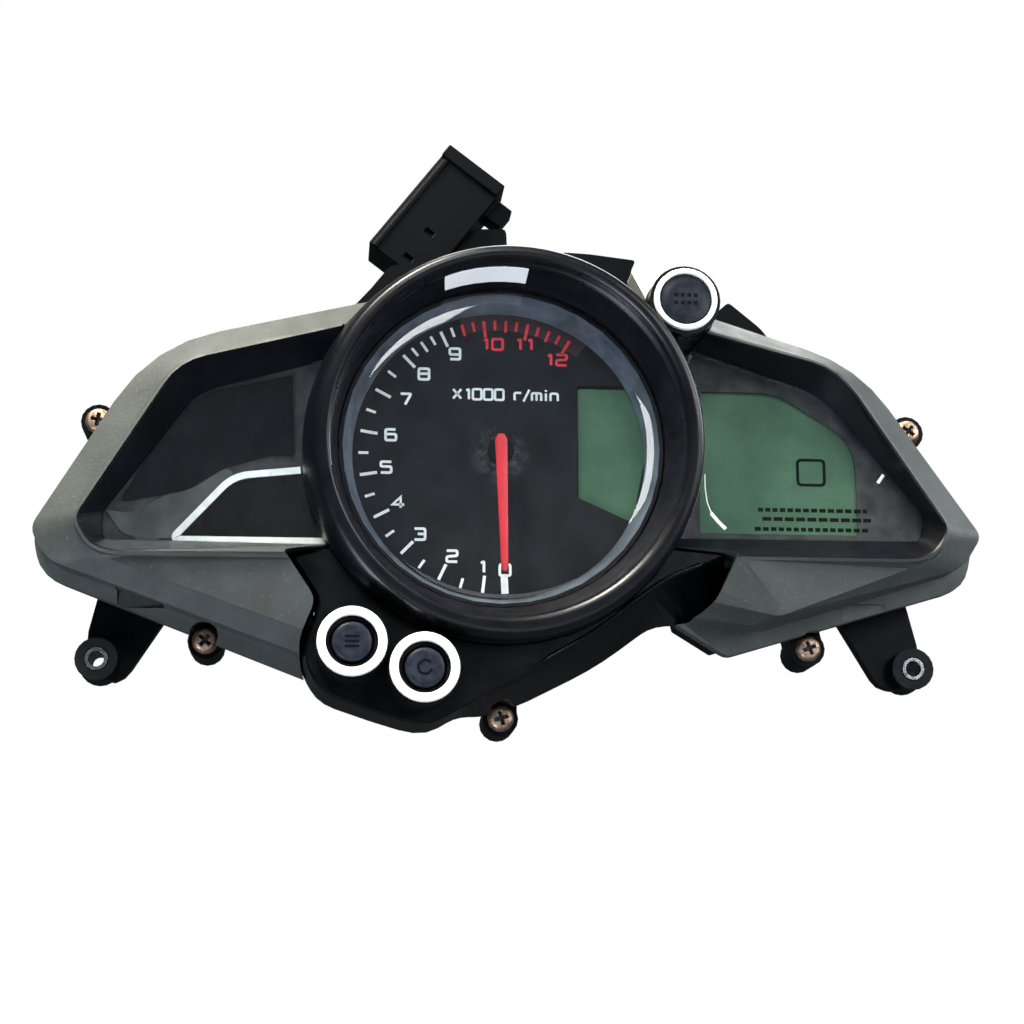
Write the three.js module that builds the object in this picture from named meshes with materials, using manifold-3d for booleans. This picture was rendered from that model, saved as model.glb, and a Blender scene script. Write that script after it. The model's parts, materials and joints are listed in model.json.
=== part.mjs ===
// Motorcycle instrument cluster: round tachometer, two windows, two push buttons and a warning lamp.
// Millimetres, Z up. The dial looks towards -Y. The origin is on the dial axis, in the flat back.
import * as THREE from 'three';
import { mergeVertices } from 'three/addons/utils/BufferGeometryUtils.js';
import Module from 'manifold-3d';

const wasm = await Module();
wasm.setup();

// ---- driving dimensions -------------------------------------------------------------------------
const GAP = 0.3;                 // clearance between neighbouring pieces
const WALL = 2.2;                // wall of the moulded shells
const CASE_FLOOR = 2.4;          // back plate of the rear case
const CASE_RIM = -19.7;          // front rim of the rear case
const FRAME_BACK = -20;          // front frame
const FRAME_RIM = -27.7;
const COVER_BACK = -28;          // wing covers and chin cover
const DRUM_FRONT = -40;          // round wall behind the bezel ring
const DRUM_RADIUS = 58;
const RING_RADIUS = 54.9;        // bezel ring
const RING_BORE = 45.2;
const RING_CREST = -59.3;
const BOARD_BACK = -18;          // circuit board
const BOARD_THICK = 1.6;
const DIAL_FRONT = -37;          // dial plate
const DIAL_THICK = 1;
const DIAL_SIGHT = 41;           // visible dial radius
const CURVE_STEPS = 4;           // points along a rounded corner of a visible outline
const HIDDEN_STEPS = 2;          // the same for outlines that lie behind the covers
const ROUND = 36;                // segments of a large circle
const SMALL_ROUND = 16;          // segments of a small circle
const NEEDLE_RED = 0xc81e28;

// Places on the front, as [x, z]
const MODE_AT = [-40.5, -56.4];
const SET_AT = [-21.3, -63];
const LAMP_AT = [49.7, 39.8];
const SCREWS_AT = {
  left_top: [-112.6, 11.1], left_bottom: [-80.8, -51.3], right_top: [120.8, 12.7],
  right_bottom: [89.6, -51.4], bottom: [1.7, -72.2],
};
const LUGS_AT = { left: [-110.8, -56.4], right: [120.5, -56.5] };

// Outlines as corners [x, z, radius]. The corners of one cover correspond from outline to outline.
const LEFT_SKIRT = [[-34, 43, 1], [-97, 28.4, 19], [-128, -24, 3], [-125.6, -35, 7], [-50, -64, 2]];
const LEFT_EDGE = [[-34, 42.8, 1], [-96.6, 28, 19], [-127.6, -24, 3], [-123, -32.6, 4], [-50, -59, 2]];
const LEFT_CREASE = [[-38, 34.6, 1], [-89.8, 22.2, 8], [-116.2, -23, 3], [-111, -31.4, 6], [-50, -53, 2]];
const LEFT_OPENING = [[-40, 32.8, 1], [-88.2, 20.5, 7], [-114.4, -22.9, 2.4], [-109, -31.6, 8],
  [-42, -31.5, 2]];
const LEFT_FLOOR = [[-45, 26.9, 1], [-84, 15.8, 6], [-108.8, -19, 2], [-108.2, -26.4, 2], [-46, -27, 1]];
const RIGHT_SKIRT = [[30, 36, 1], [56, 41.4, 2], [102, 27, 15], [135.8, -22, 2.4], [133, -35, 6],
  [64.4, -55.4, 2], [50, -46.5, 1]];
const RIGHT_EDGE = [[30, 36, 1], [56, 41, 2], [101.6, 26.6, 15], [135.3, -22, 2.4], [129.6, -31.2, 4],
  [73, -48.6, 3], [50, -45.5, 1]];
const RIGHT_CREASE = [[32, 34, 1], [55, 36.6, 1], [95.6, 24.6, 9], [125.4, -22, 3], [118.5, -30.4, 6],
  [76, -46.4, 2], [50, -41, 1]];
const RIGHT_OPENING = [[36, 33, 1], [54, 33, 1], [94, 22.6, 8], [123.3, -21.9, 3], [118, -30, 7],
  [66, -30, 1], [42, -30, 1]];
const RIGHT_FLOOR = [[38, 34, 1], [54, 31.2, 1], [91.5, 18.9, 7], [120, -15.5, 3], [118.6, -23.3, 2],
  [66, -23.6, 1], [48, -23.6, 1]];
const CHIN_FLANGE = [[64.6, -29, 1], [58.7, -41.7, 2], [53.6, -46, 2], [43.6, -46.6, 4],
  [28, -58.2, 8], [7, -69, 6], [-4, -72.4, 2], [-11, -72.6, 3], [-20.5, -78.2, 7], [-36.4, -73.5, 4],
  [-49.4, -69, 5], [-54, -61, 3], [-54.3, -54.2, 2], [-50, -43.3, 3], [-58.8, -30.5, 1], [-36, -26, 1],
  [36, -26, 1]];
const CHIN_PLATEAU = [[61.6, -29, 1], [53, -33, 2], [47, -35.6, 2], [39, -41.5, 3],
  [26, -51.6, 8], [7, -63.2, 6], [-3, -67.4, 2], [-10, -71.2, 3], [-20.5, -77, 7], [-36, -72.4, 4],
  [-48, -68, 5], [-52.4, -60.6, 3], [-52.3, -54, 2], [-48.4, -43.6, 3], [-56.4, -31.4, 1], [-36, -27, 1],
  [36, -27, 1]];
const HOOD = [[-2, 46, 1], [-2, 59.6, 2], [20, 63.2, 7], [40.4, 60.9, 1], [38.4, 56.4, 2],
  [45.5, 48.5, 2], [61, 43.2, 1], [67.4, 48.9, 1], [77, 41, 2], [84, 31, 2], [62, 20, 2]];
// Corner of the round wall under the connector
const WALL_CORNER = [[-44.4, 38, 1], [-36.4, 47, 2], [-31.2, 53.8, 1.5], [-22, 55, 2], [-24, 44, 1],
  [-38, 33, 1]];
const NECK = [[-25, 44, 1], [-25, 56, 2], [-9, 72.4, 1.5], [3.4, 73, 1.5], [4.6, 50, 2]];
// Opens the inner corners where wings, chin and round wall run into each other
const BRIDGE = [[-60, -12, 1], [-60, -31, 1], [-52, -43, 1], [-47, -50, 1], [24, -50, 1], [38, -38, 1],
  [50, -37, 1], [61, -31, 1], [61, -12, 1]];
const BOARD = [[-90, 10, 3], [-58, 25, 3], [-39, 34, 6], [36, 37, 6], [60, 28, 3], [90, 14, 3],
  [106, -16, 3], [60, -30, 4], [38, -33, 3], [12, -52, 4], [-8, -62, 4], [-44.6, -61, 4], [-44.6, -39, 3],
  [-100, -20, 3]];
const LEFT_ARM = [[-109, -28, 1], [-114.6, -52, 4], [-108.6, -62.8, 5], [-103.2, -61.2, 3], [-87.2, -36, 2]];
const RIGHT_ARM = [[94.4, -32.6, 2], [111.4, -61.4, 3], [119.4, -62.6, 4], [124, -53, 4], [117.6, -27, 1]];
// Where the strap of each screw ear grows out of the case
const EAR_ROOTS = {
  left_top: [-101, 6.5], left_bottom: [-78.8, -44], right_top: [108, 7.5], right_bottom: [87.4, -42],
  bottom: [1.7, -63],
};

// ---- small helpers ----------------------------------------------------------------------------------
function between(a, b, part) {
  return [a[0] + (b[0] - a[0]) * part, a[1] + (b[1] - a[1]) * part];
}

// Corner list to a smooth loop of [x, z]; every corner gives the same number of points.
function smoothLoop(corners, steps = CURVE_STEPS) {
  const loop = [];
  corners.forEach((corner, index) => {
    const before = corners[(index + corners.length - 1) % corners.length];
    const after = corners[(index + 1) % corners.length];
    const lengthIn = Math.hypot(corner[0] - before[0], corner[1] - before[1]);
    const lengthOut = Math.hypot(corner[0] - after[0], corner[1] - after[1]);
    const start = between(corner, before, Math.min(corner[2] / lengthIn, 0.45));
    const end = between(corner, after, Math.min(corner[2] / lengthOut, 0.45));
    for (let step = 0; step <= steps; step += 1) {
      const part = step / steps;
      loop.push(between(between(start, corner, part), between(corner, end, part), part));
    }
  });
  return loop;
}

function loopArea(loop) {
  return loop.reduce((sum, [x, z], index) => {
    const [nextX, nextZ] = loop[(index + 1) % loop.length];
    return sum + (x * nextZ - nextX * z) / 2;
  }, 0);
}

// Moves every corner of a corner list outwards by distance (inwards when negative).
function grow(corners, distance) {
  const sense = Math.sign(loopArea(corners));
  return corners.map(([x, z, radius], index) => {
    const [beforeX, beforeZ] = corners[(index + corners.length - 1) % corners.length];
    const [afterX, afterZ] = corners[(index + 1) % corners.length];
    const first = new THREE.Vector2(z - beforeZ, beforeX - x).normalize();
    const second = new THREE.Vector2(afterZ - z, x - afterX).normalize();
    const normal = first.clone().add(second).normalize();
    const reach = (sense * distance) / Math.max(normal.dot(first), 0.4);
    const bulge = first.cross(second) * sense > 0 ? distance : -distance;
    return [x + normal.x * reach, z + normal.y * reach, Math.max(radius + bulge, 0.3)];
  });
}

function circleLoop([x, z], radius, segments = ROUND) {
  return Array.from({ length: segments }, (unused, index) => {
    const angle = (index / segments) * Math.PI * 2;
    return [x + radius * Math.cos(angle), z + radius * Math.sin(angle)];
  });
}

function shapeOf(loop) {
  return new THREE.Shape(loop.map(([x, z]) => new THREE.Vector2(x, z)));
}

// Prism between two depths, with optional holes.
function prism(loop, back, front, holes = []) {
  const shape = shapeOf(loop);
  holes.forEach((hole) => shape.holes.push(shapeOf(hole)));
  const geometry = new THREE.ExtrudeGeometry(shape, { depth: back - front, bevelEnabled: false });
  geometry.rotateX(Math.PI / 2);
  geometry.translate(0, back, 0);
  return geometry;
}

// Turned body about an axis parallel to the dial axis; profile is a closed list of [radius, y].
function turned(profile, [x, z] = [0, 0], segments = ROUND) {
  const points = [...profile, profile[0]].map(([radius, y]) => new THREE.Vector2(Math.max(radius, 0), y));
  const geometry = new THREE.LatheGeometry(points, segments);
  geometry.translate(x, 0, z);
  return outward(geometry);
}

function washer(outer, inner, back, front, at, segments = SMALL_ROUND) {
  return turned([[inner, back], [outer, back], [outer, front], [inner, front]], at, segments);
}

function disc(radius, back, front, at, segments = SMALL_ROUND) {
  return turned([[0, back], [radius, back], [radius, front], [0, front]], at, segments);
}

function box(width, depth, height, x, y, z) {
  const geometry = new THREE.BoxGeometry(width, depth, height);
  geometry.translate(x, y, z);
  return geometry;
}

// Skin through matching loops, each given as { loop, y }. Closed on itself as a tube or capped at both ends.
function loft(levels, tube) {
  const count = levels[0].loop.length;
  const positions = levels.flatMap(({ loop, y }) => loop.flatMap(([x, z]) => [x, y, z]));
  const faces = [];
  const bands = tube ? levels.length : levels.length - 1;
  for (let band = 0; band < bands; band += 1) {
    const next = (band + 1) % levels.length;
    for (let index = 0; index < count; index += 1) {
      const a = band * count + index;
      const b = band * count + ((index + 1) % count);
      const c = next * count + ((index + 1) % count);
      const d = next * count + index;
      faces.push(a, b, c, a, c, d);
    }
  }
  if (!tube) {
    [0, levels.length - 1].forEach((level) => {
      const contour = levels[level].loop.map(([x, z]) => new THREE.Vector2(x, z));
      const sense = THREE.ShapeUtils.isClockWise(contour) ? -1 : 1;
      THREE.ShapeUtils.triangulateShape(contour, []).forEach(([a, b, c]) => {
        const turn = new THREE.Vector2().subVectors(contour[b], contour[a])
          .cross(new THREE.Vector2().subVectors(contour[c], contour[a]));
        const forward = turn * sense > 0;
        const ordered = (level === 0) === forward ? [a, c, b] : [a, b, c];
        faces.push(...ordered.map((corner) => level * count + corner));
      });
    });
  }
  const geometry = new THREE.BufferGeometry();
  geometry.setAttribute('position', new THREE.Float32BufferAttribute(positions, 3));
  geometry.setIndex(faces);
  return outward(geometry);
}

// Turns the faces round when they look inwards.
function outward(geometry) {
  const place = geometry.getAttribute('position');
  const index = geometry.getIndex();
  const [a, b, c] = [new THREE.Vector3(), new THREE.Vector3(), new THREE.Vector3()];
  let volume = 0;
  for (let face = 0; face < index.count; face += 3) {
    a.fromBufferAttribute(place, index.getX(face));
    b.fromBufferAttribute(place, index.getX(face + 1));
    c.fromBufferAttribute(place, index.getX(face + 2));
    volume += a.dot(b.cross(c));
  }
  if (volume < 0) {
    for (let face = 0; face < index.count; face += 3) {
      const kept = index.getX(face);
      index.setX(face, index.getX(face + 1));
      index.setX(face + 1, kept);
    }
  }
  return geometry;
}

function solid(geometry) {
  const bare = new THREE.BufferGeometry();
  bare.setAttribute('position', geometry.getAttribute('position').clone());
  if (geometry.getIndex()) bare.setIndex(geometry.getIndex().clone());
  const welded = outward(mergeVertices(bare, 1e-4));
  const corners = [];
  const index = welded.getIndex();
  for (let face = 0; face < index.count; face += 3) {
    const [a, b, c] = [index.getX(face), index.getX(face + 1), index.getX(face + 2)];
    if (a !== b && b !== c && c !== a) corners.push(a, b, c);
  }
  return new wasm.Manifold(new wasm.Mesh({
    numProp: 3,
    vertProperties: new Float32Array(welded.getAttribute('position').array),
    triVerts: new Uint32Array(corners),
  }));
}

function geometryOf(body) {
  const mesh = body.getMesh();
  const geometry = new THREE.BufferGeometry();
  geometry.setAttribute('position', new THREE.BufferAttribute(new Float32Array(mesh.vertProperties), 3));
  geometry.setIndex(new THREE.BufferAttribute(new Uint32Array(mesh.triVerts), 1));
  return geometry;
}

function join(...geometries) {
  return geometries.map(solid).reduce((sum, next) => sum.add(next));
}

function cut(body, ...geometries) {
  return geometries.map(solid).reduce((rest, next) => rest.subtract(next), body);
}

// ---- the assembly tree -------------------------------------------------------------------------------
const cluster = new THREE.Group();
cluster.name = 'instrument_cluster';

function group(name, parent = cluster) {
  const made = new THREE.Group();
  made.name = name;
  parent.add(made);
  return made;
}

const shellGroup = group('shell');
const lensGroup = group('lenses');
const dialGroup = group('dial');
const electronicsGroup = group('electronics');
const motorGroup = group('stepper_motor');
const needleGroup = group('needle');
const switchGroup = group('buttons');
const lampGroup = group('shift_lamp');
const fixingGroup = group('fixings');

function add(name, shape, color, roughness, parent, metalness = 0) {
  const geometry = shape.isBufferGeometry ? shape : geometryOf(shape);
  const plain = geometry.getIndex() ? geometry.toNonIndexed() : geometry;
  plain.computeVertexNormals();
  const mesh = new THREE.Mesh(plain, new THREE.MeshStandardMaterial({ color, roughness, metalness }));
  mesh.name = name;
  parent.add(mesh);
  return mesh;
}

// ---- shells: rear case, front frame, wing covers, chin, bezel ring ----------------------------------
// Outlines of wings, chin, hood and round wall. Behind the covers they step in by set-back.
function caseLoops(setBack, inset) {
  const outlines = [[LEFT_SKIRT, -setBack], [RIGHT_SKIRT, -setBack], [CHIN_FLANGE, -setBack], [HOOD, 0]];
  return [
    ...outlines.map(([corners, distance]) => smoothLoop(grow(corners, distance - inset), HIDDEN_STEPS)),
    circleLoop([0, 0], DRUM_RADIUS - inset),
  ];
}

function hollowOutline(setBack, back, front, floor) {
  const outside = join(...caseLoops(setBack, 0).map((loop) => prism(loop, back, front)));
  const inner = [...caseLoops(setBack, WALL), smoothLoop(BRIDGE, 1)];
  return outside.subtract(join(...inner.map((loop) => prism(loop, back - floor, front - 1))));
}

// Straight strap from a screw ear back to its root.
function strap([x, z], [rootX, rootZ], halfWidth, back, front) {
  const along = new THREE.Vector2(rootX - x, rootZ - z).normalize().multiplyScalar(halfWidth);
  return prism([
    [x - along.y, z + along.x], [rootX - along.y, rootZ + along.x],
    [rootX + along.y, rootZ - along.x], [x + along.y, z - along.x],
  ], back, front);
}

const EAR_RADIUS = 5;
const EAR_FRONT = -22.2;
const SCREW_PILOT = 1.5;
const SCREW_HEAD = 3.7;
const LUG_BACK = -8.5;
const LUG_FRONT = -19.5;
const LUG_RADIUS = 5.7;
const LUG_BORE = 4.5;
const SLEEVE_RADIUS = 3.25;
const SLEEVE_BORE = 2.2;
const BREATHER_AT = [-70, -30];
const BREATHER_RADIUS = 3.4;
const BOARD_POSTS = [[-88, 0], [88, 2], [-62, -27], [54, -26], [0, 31], [-6, -56]];

const REAR_SET_BACK = 4.6;
const FRAME_SET_BACK = 2;
let rearCase = hollowOutline(REAR_SET_BACK, 0, CASE_RIM, CASE_FLOOR);
const rearAdditions = [
  prism(smoothLoop(NECK, HIDDEN_STEPS), -3, CASE_RIM),
  prism(smoothLoop(LEFT_ARM, HIDDEN_STEPS), LUG_BACK - 3, LUG_FRONT + 3),
  prism(smoothLoop(RIGHT_ARM, HIDDEN_STEPS), LUG_BACK - 3, LUG_FRONT + 3),
  ...Object.values(LUGS_AT).map((at) => disc(LUG_RADIUS, LUG_BACK, LUG_FRONT, at)),
  ...Object.values(SCREWS_AT).map((at) => disc(EAR_RADIUS, -8, CASE_RIM, at)),
  ...Object.keys(SCREWS_AT).map((name) => strap(SCREWS_AT[name], EAR_ROOTS[name], 4, -9, CASE_RIM)),
  ...BOARD_POSTS.map((at) => disc(3, -1.5, BOARD_BACK + GAP, at, 8)),
];
rearCase = rearAdditions.map(solid).reduce((sum, next) => sum.add(next), rearCase);
// The connector stands beside the round wall; its group shares this place and tilt.
const CONNECTOR_AT = [-25.3, -15, 81.6];
const CONNECTOR_TILT = THREE.MathUtils.degToRad(52.5);    // mouth edge from +X towards +Z
const CONNECTOR_LONG = 38.4;
const CONNECTOR_DEEP = 20.4;
const CONNECTOR_THICK = 17;
const connectorRoom = box(CONNECTOR_LONG + 2 * GAP, CONNECTOR_THICK + 2 * GAP, CONNECTOR_DEEP + 2 * GAP,
  0, 0, -CONNECTOR_DEEP / 2);
connectorRoom.rotateY(-CONNECTOR_TILT);
connectorRoom.translate(...CONNECTOR_AT);
rearCase = cut(
  rearCase, connectorRoom,
  ...Object.values(LUGS_AT).map((at) => disc(LUG_BORE, LUG_BACK + 1, LUG_FRONT - 1, at)),
  ...Object.values(SCREWS_AT).map((at) => disc(SCREW_PILOT, -9, CASE_RIM - 1, at, 8)),
  disc(BREATHER_RADIUS + 0.1, 1, -1.5, BREATHER_AT, 18), disc(0.8, 0, -3, BREATHER_AT, 8),
);
add('rear_housing', rearCase, 0x16171a, 0.62, shellGroup);

let frontFrame = hollowOutline(FRAME_SET_BACK, FRAME_BACK, FRAME_RIM, -1);
const hoodTop = prism(smoothLoop(HOOD, HIDDEN_STEPS), FRAME_RIM + 0.5, FRAME_RIM - 2);
frontFrame = frontFrame.add(solid(hoodTop));
// round wall behind the upper half of the ring
const drumWall = join(turned([[RING_RADIUS + GAP, FRAME_RIM + 2], [DRUM_RADIUS, FRAME_RIM + 2],
  [DRUM_RADIUS, DRUM_FRONT], [RING_RADIUS + GAP, DRUM_FRONT]]));
frontFrame = frontFrame.add(drumWall.intersect(solid(box(130, 40, 60, 0, -30, 61.5))));
const wallCorner = prism(smoothLoop(WALL_CORNER, HIDDEN_STEPS), FRAME_RIM + 2, DRUM_FRONT);
frontFrame = frontFrame.add(solid(wallCorner));
// open inside the ring, under the lamp and where ring and chin meet
frontFrame = cut(frontFrame, prism(circleLoop([0, 0], RING_RADIUS + GAP), 0, -60),
  prism(circleLoop(LAMP_AT, 7.6, 16), 0, -60), box(101, 20, 8, 0, -24, -29.5), connectorRoom);
Object.keys(SCREWS_AT).forEach((name) => {
  frontFrame = frontFrame.add(solid(disc(EAR_RADIUS, FRAME_BACK, EAR_FRONT, SCREWS_AT[name])))
    .add(solid(strap(SCREWS_AT[name], EAR_ROOTS[name], EAR_RADIUS - 0.4, FRAME_BACK, EAR_FRONT)));
});
const headRooms = Object.values(SCREWS_AT).map((at) => disc(SCREW_HEAD + GAP, EAR_FRONT, -37, at));
const screwHoles = Object.values(SCREWS_AT).map((at) => disc(1.9, -10, -30, at, 8));
frontFrame = cut(frontFrame, ...screwHoles, ...headRooms);
add('front_frame', frontFrame, 0x17181b, 0.6, shellGroup);

// Annular cover: skirt, ledge, tier wall, facet, crease, facet, lip, slope to the floor, back inside.
function wingCover(skirt, edge, crease, opening, floor) {
  const levels = [
    [skirt, 0, COVER_BACK], [skirt, 0, -32.6], [edge, 0, -33.6], [edge, 0, -43], [crease, 0, -48.6],
    [opening, 1.3, -51.6], [opening, 0.5, -52], [opening, 0, -51.6], [floor, 0, -40.7], [floor, 0, -38.6],
    [floor, 2.4, -38.6], [opening, 1.8, -48.4], [crease, -1, -46.4], [edge, -WALL, -42], [edge, -WALL, -31.6],
    [skirt, -WALL, -30.6], [skirt, -WALL, COVER_BACK],
  ];
  const loops = levels.map(([corners, distance, y]) => ({ loop: smoothLoop(grow(corners, distance)), y }));
  return loft(loops, true);
}

const ringRoom = prism(circleLoop([0, 0], RING_RADIUS + GAP), -20, -70);
const drumRoom = prism(circleLoop([0, 0], DRUM_RADIUS + GAP), -20, DRUM_FRONT - GAP);
const chinRoom = prism(smoothLoop(grow(CHIN_FLANGE, GAP)), -20, -70);
const BARREL_RADIUS = 9.8;       // barrels of the two buttons and of the lamp
const lampRoom = prism(circleLoop(LAMP_AT, BARREL_RADIUS + GAP, 28), -20, -70);
const hoodRoom = prism(smoothLoop(grow(HOOD, GAP)), -20, FRAME_RIM - 2 - GAP);
const leftPocket = box(13, 8, 5, -98, -36.5, -41.5);
const rightPocket = box(13, 8, 5, 103, -36.5, -42.5);

const cornerRoom = prism(smoothLoop(grow(WALL_CORNER, GAP)), -20, DRUM_FRONT - GAP);
const leftCover = cut(
  solid(wingCover(LEFT_SKIRT, LEFT_EDGE, LEFT_CREASE, LEFT_OPENING, LEFT_FLOOR)),
  ringRoom, drumRoom, cornerRoom, chinRoom, box(8, 30, 3, -44.2, -45, -27.8), leftPocket, ...headRooms,
);
add('left_wing_cover', leftCover, 0x4a4f4b, 0.7, shellGroup);
const rightCover = cut(
  solid(wingCover(RIGHT_SKIRT, RIGHT_EDGE, RIGHT_CREASE, RIGHT_OPENING, RIGHT_FLOOR)),
  ringRoom, drumRoom, chinRoom, lampRoom, hoodRoom, rightPocket, ...headRooms,
);
add('right_wing_cover', rightCover, 0x4a4f4b, 0.7, shellGroup);

const BARREL_BORE = 7.3;
const BARREL_FRONT = -59.1;
const chinLevels = (levels) => loft(levels.map(([corners, distance, y]) => (
  { loop: smoothLoop(grow(corners, distance), 3), y })));
const chinOutside = chinLevels([
  [CHIN_FLANGE, 0, COVER_BACK], [CHIN_FLANGE, 0, -30.5], [CHIN_PLATEAU, 0.5, -45], [CHIN_PLATEAU, -0.2, -46],
]);
const chinInside = chinLevels([
  [CHIN_FLANGE, -WALL, COVER_BACK + 1], [CHIN_FLANGE, -WALL, -30], [CHIN_PLATEAU, -WALL, -43.8],
]);
const barrels = [MODE_AT, SET_AT].map((at) => disc(BARREL_RADIUS, -40, BARREL_FRONT, at, 28));
const barrelBores = [MODE_AT, SET_AT].map((at) => disc(BARREL_BORE, -30, -70, at, 24));
const chin = cut(join(chinOutside, ...barrels), chinInside, ringRoom, ...headRooms, ...barrelBores);
add('chin_cover', chin, 0x101114, 0.35, shellGroup);

const ringProfile = [
  [RING_RADIUS, DRUM_FRONT - GAP], [54.8, -48], [54, -55.4], [53, -58.2], [51.4, -59.2],
  [50.2, RING_CREST], [49, -58.7], [48.4, -57.4], [47.8, -57.2], [45.9, -50.6], [RING_BORE, -49.6],
  [RING_BORE, -38.3], [47.2, -38.3], [47.4, -48.6], [49.8, -56.6], [51, -57], [52.2, -54.4],
  [52.6, DRUM_FRONT - GAP],
];

// The front of the ring leans forward towards its top like a low visor.
const VISOR_LEAN = 0.11;
const LEAN_START = -50.4;
function lean(geometry) {
  const place = geometry.getAttribute('position');
  for (let index = 0; index < place.count; index += 1) {
    const share = Math.max(0, Math.min(1, (LEAN_START - place.getY(index)) / (LEAN_START - RING_CREST)));
    place.setY(index, place.getY(index) - share * VISOR_LEAN * place.getZ(index));
  }
  return geometry;
}
add('bezel_ring', lean(turned(ringProfile, [0, 0], 48)), 0x0d0e10, 0.25, shellGroup);

// ---- dial plate, reflector and lenses ------------------------------------------------------------------
const DISPLAY = [[22.4, 20.2, 1], [102, 20.2, 1], [102, -21, 1], [22.4, -21, 1]];
const dialDisplayHole = [[22.1, 20.8, 1], [38.8, 21.2, 1], [42.2, 5, 6], [37.6, -18.6, 1], [21.8, -11.5, 1]];
const rightDisplayHole = [[57.3, 19.9, 1], [79, 19.9, 5], [101.6, 6, 9], [101.6, -21.3, 1], [56.6, -21.3, 1]];
let dialPlate = join(
  prism(circleLoop([0, 0], 48), DIAL_FRONT + DIAL_THICK, DIAL_FRONT),
  prism(smoothLoop(grow(LEFT_FLOOR, 1.6)), DIAL_FRONT + DIAL_THICK, DIAL_FRONT),
  prism(smoothLoop(grow(RIGHT_FLOOR, 1.6)), DIAL_FRONT + DIAL_THICK, DIAL_FRONT),
);
dialPlate = cut(dialPlate,
  prism(smoothLoop(dialDisplayHole), -30, -40), prism(smoothLoop(rightDisplayHole), -30, -40),
  prism(circleLoop([0, 0], 2, 16), -30, -40), lampRoom, box(8, 4, 3, -50, -36.5, -29.5));
add('dial_plate', dialPlate, 0x101113, 0.75, dialGroup);
add('dial_reflector', turned([[DIAL_SIGHT, DIAL_FRONT - GAP], [44.6, DIAL_FRONT - GAP], [44.8, -46.8],
  [43.6, -46.8]]), 0x8d9194, 0.5, dialGroup);
add('dial_lens_gasket', turned([[43.8, -47], [44.8, -47], [44.8, -47.5], [43.8, -47.5]]),
  0x1b1b1b, 0.8, lensGroup);
add('dial_lens', turned([[0, -48.4], [30, -48], [44.9, -47.7], [44.9, -49.2], [30, -49.5], [0, -49.9]]),
  0xdfe6e6, 0.06, lensGroup);
const leftLens = cut(solid(prism(smoothLoop(grow(LEFT_FLOOR, -GAP)), -39, -40.5)), ringRoom);
add('left_window_lens', leftLens, 0xdfe6e6, 0.06, lensGroup);
const rightLens = cut(solid(prism(smoothLoop(grow(RIGHT_FLOOR, -GAP)), -39, -40.5)), ringRoom, lampRoom);
add('right_window_lens', rightLens, 0xdfe6e6, 0.06, lensGroup);

// telltale panel and the open white accent line on the left window floor
const TELLTALE = [[-81, 16.4, 3], [-58, 21.6, 1], [-57, -1.4, 1], [-64, -1.6, 1], [-76, -5.2, 2],
  [-86, -11.8, 3], [-104.4, -15.2, 1.5], [-96.4, -1, 4], [-87.3, 12, 3]];
const PANEL_FRONT = DIAL_FRONT - 0.9;
add('telltale_panel', prism(smoothLoop(TELLTALE), DIAL_FRONT - 0.1, PANEL_FRONT), 0x1c1d20, 0.5, dialGroup);
const ACCENT = [[-48, -26.1, 0.4], [-91, -26.5, 2], [-93.6, -23.2, 2], [-88.2, -21.9, 1.4], [-75.2, -6.8, 3],
  [-54.6, -4.5, 0.4], [-54.6, -6.2, 0.4], [-74, -8.4, 3], [-87.2, -23.6, 1.2], [-90.6, -24.7, 0.8],
  [-48, -24.4, 0.4]];
add('accent_trim', prism(smoothLoop(ACCENT), DIAL_FRONT - 0.1, PANEL_FRONT), 0xf2f2ee, 0.4, dialGroup);
const INSERT = [[-57, -23.6, 0.6], [-84.6, -23.8, 1.2], [-72.8, -9.8, 2.4], [-57, -7.8, 0.6]];
const insertPanel = prism(smoothLoop(INSERT), DIAL_FRONT - 0.1, PANEL_FRONT + 0.2);
add('left_insert_panel', insertPanel, 0x0a0a0c, 0.3, dialGroup);

// ---- display, lighting and board -----------------------------------------------------------------------
const BOARD_FRONT = BOARD_BACK - BOARD_THICK;
const DIAL_BACK = DIAL_FRONT + DIAL_THICK;
add('lcd_glass', prism(smoothLoop(DISPLAY), -33.6, DIAL_BACK + GAP), 0x6f8a72, 0.15, electronicsGroup);
add('lcd_backlight', box(78, 2.6, 32, 62, -31.9, 2.4), 0xe6ebe2, 0.4, electronicsGroup);
add('lcd_zebra_strip', box(70, 13.2, 2.4, 62, -26.6, -17.6), 0x3a3a3e, 0.8, electronicsGroup);
const lampCells = [];
[[-62, 8], [-76, 8], [-62, -12], [-76, -12], [-90, -6]].forEach(([x, z]) => {
  lampCells.push(box(12, 20, 17, x, -29, z));
});
const lightBox = cut(
  solid(prism(smoothLoop([[-80, 17.6, 3], [-54, 18, 1], [-54, -22, 1], [-104, -22, 1], [-100, -12, 3]]),
    BOARD_FRONT - GAP, DIAL_BACK + GAP)),
  ...lampCells,
);
add('telltale_light_box', lightBox, 0xe9e9e4, 0.55, electronicsGroup);
const guideArc = join(turned([[16, -32.6], [43, -32.6], [43, -35.4], [16, -35.4]], [0, 0], ROUND));
add('dial_light_guide', guideArc.subtract(solid(box(60, 10, 120, 50, -34, 0))), 0xdde3e6, 0.2, dialGroup);
const boardHoles = [circleLoop([0, 0], 1.8, 12), ...BOARD_POSTS.map((at) => circleLoop(at, 1.3, 8))];
const board = prism(smoothLoop(BOARD, HIDDEN_STEPS), BOARD_BACK, BOARD_FRONT, boardHoles);
add('main_board', board, 0x1f5a3a, 0.6, electronicsGroup);
add('microcontroller', box(14, 1.6, 14, -24, BOARD_FRONT - 0.9, 16), 0x18181a, 0.5, electronicsGroup);

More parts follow.
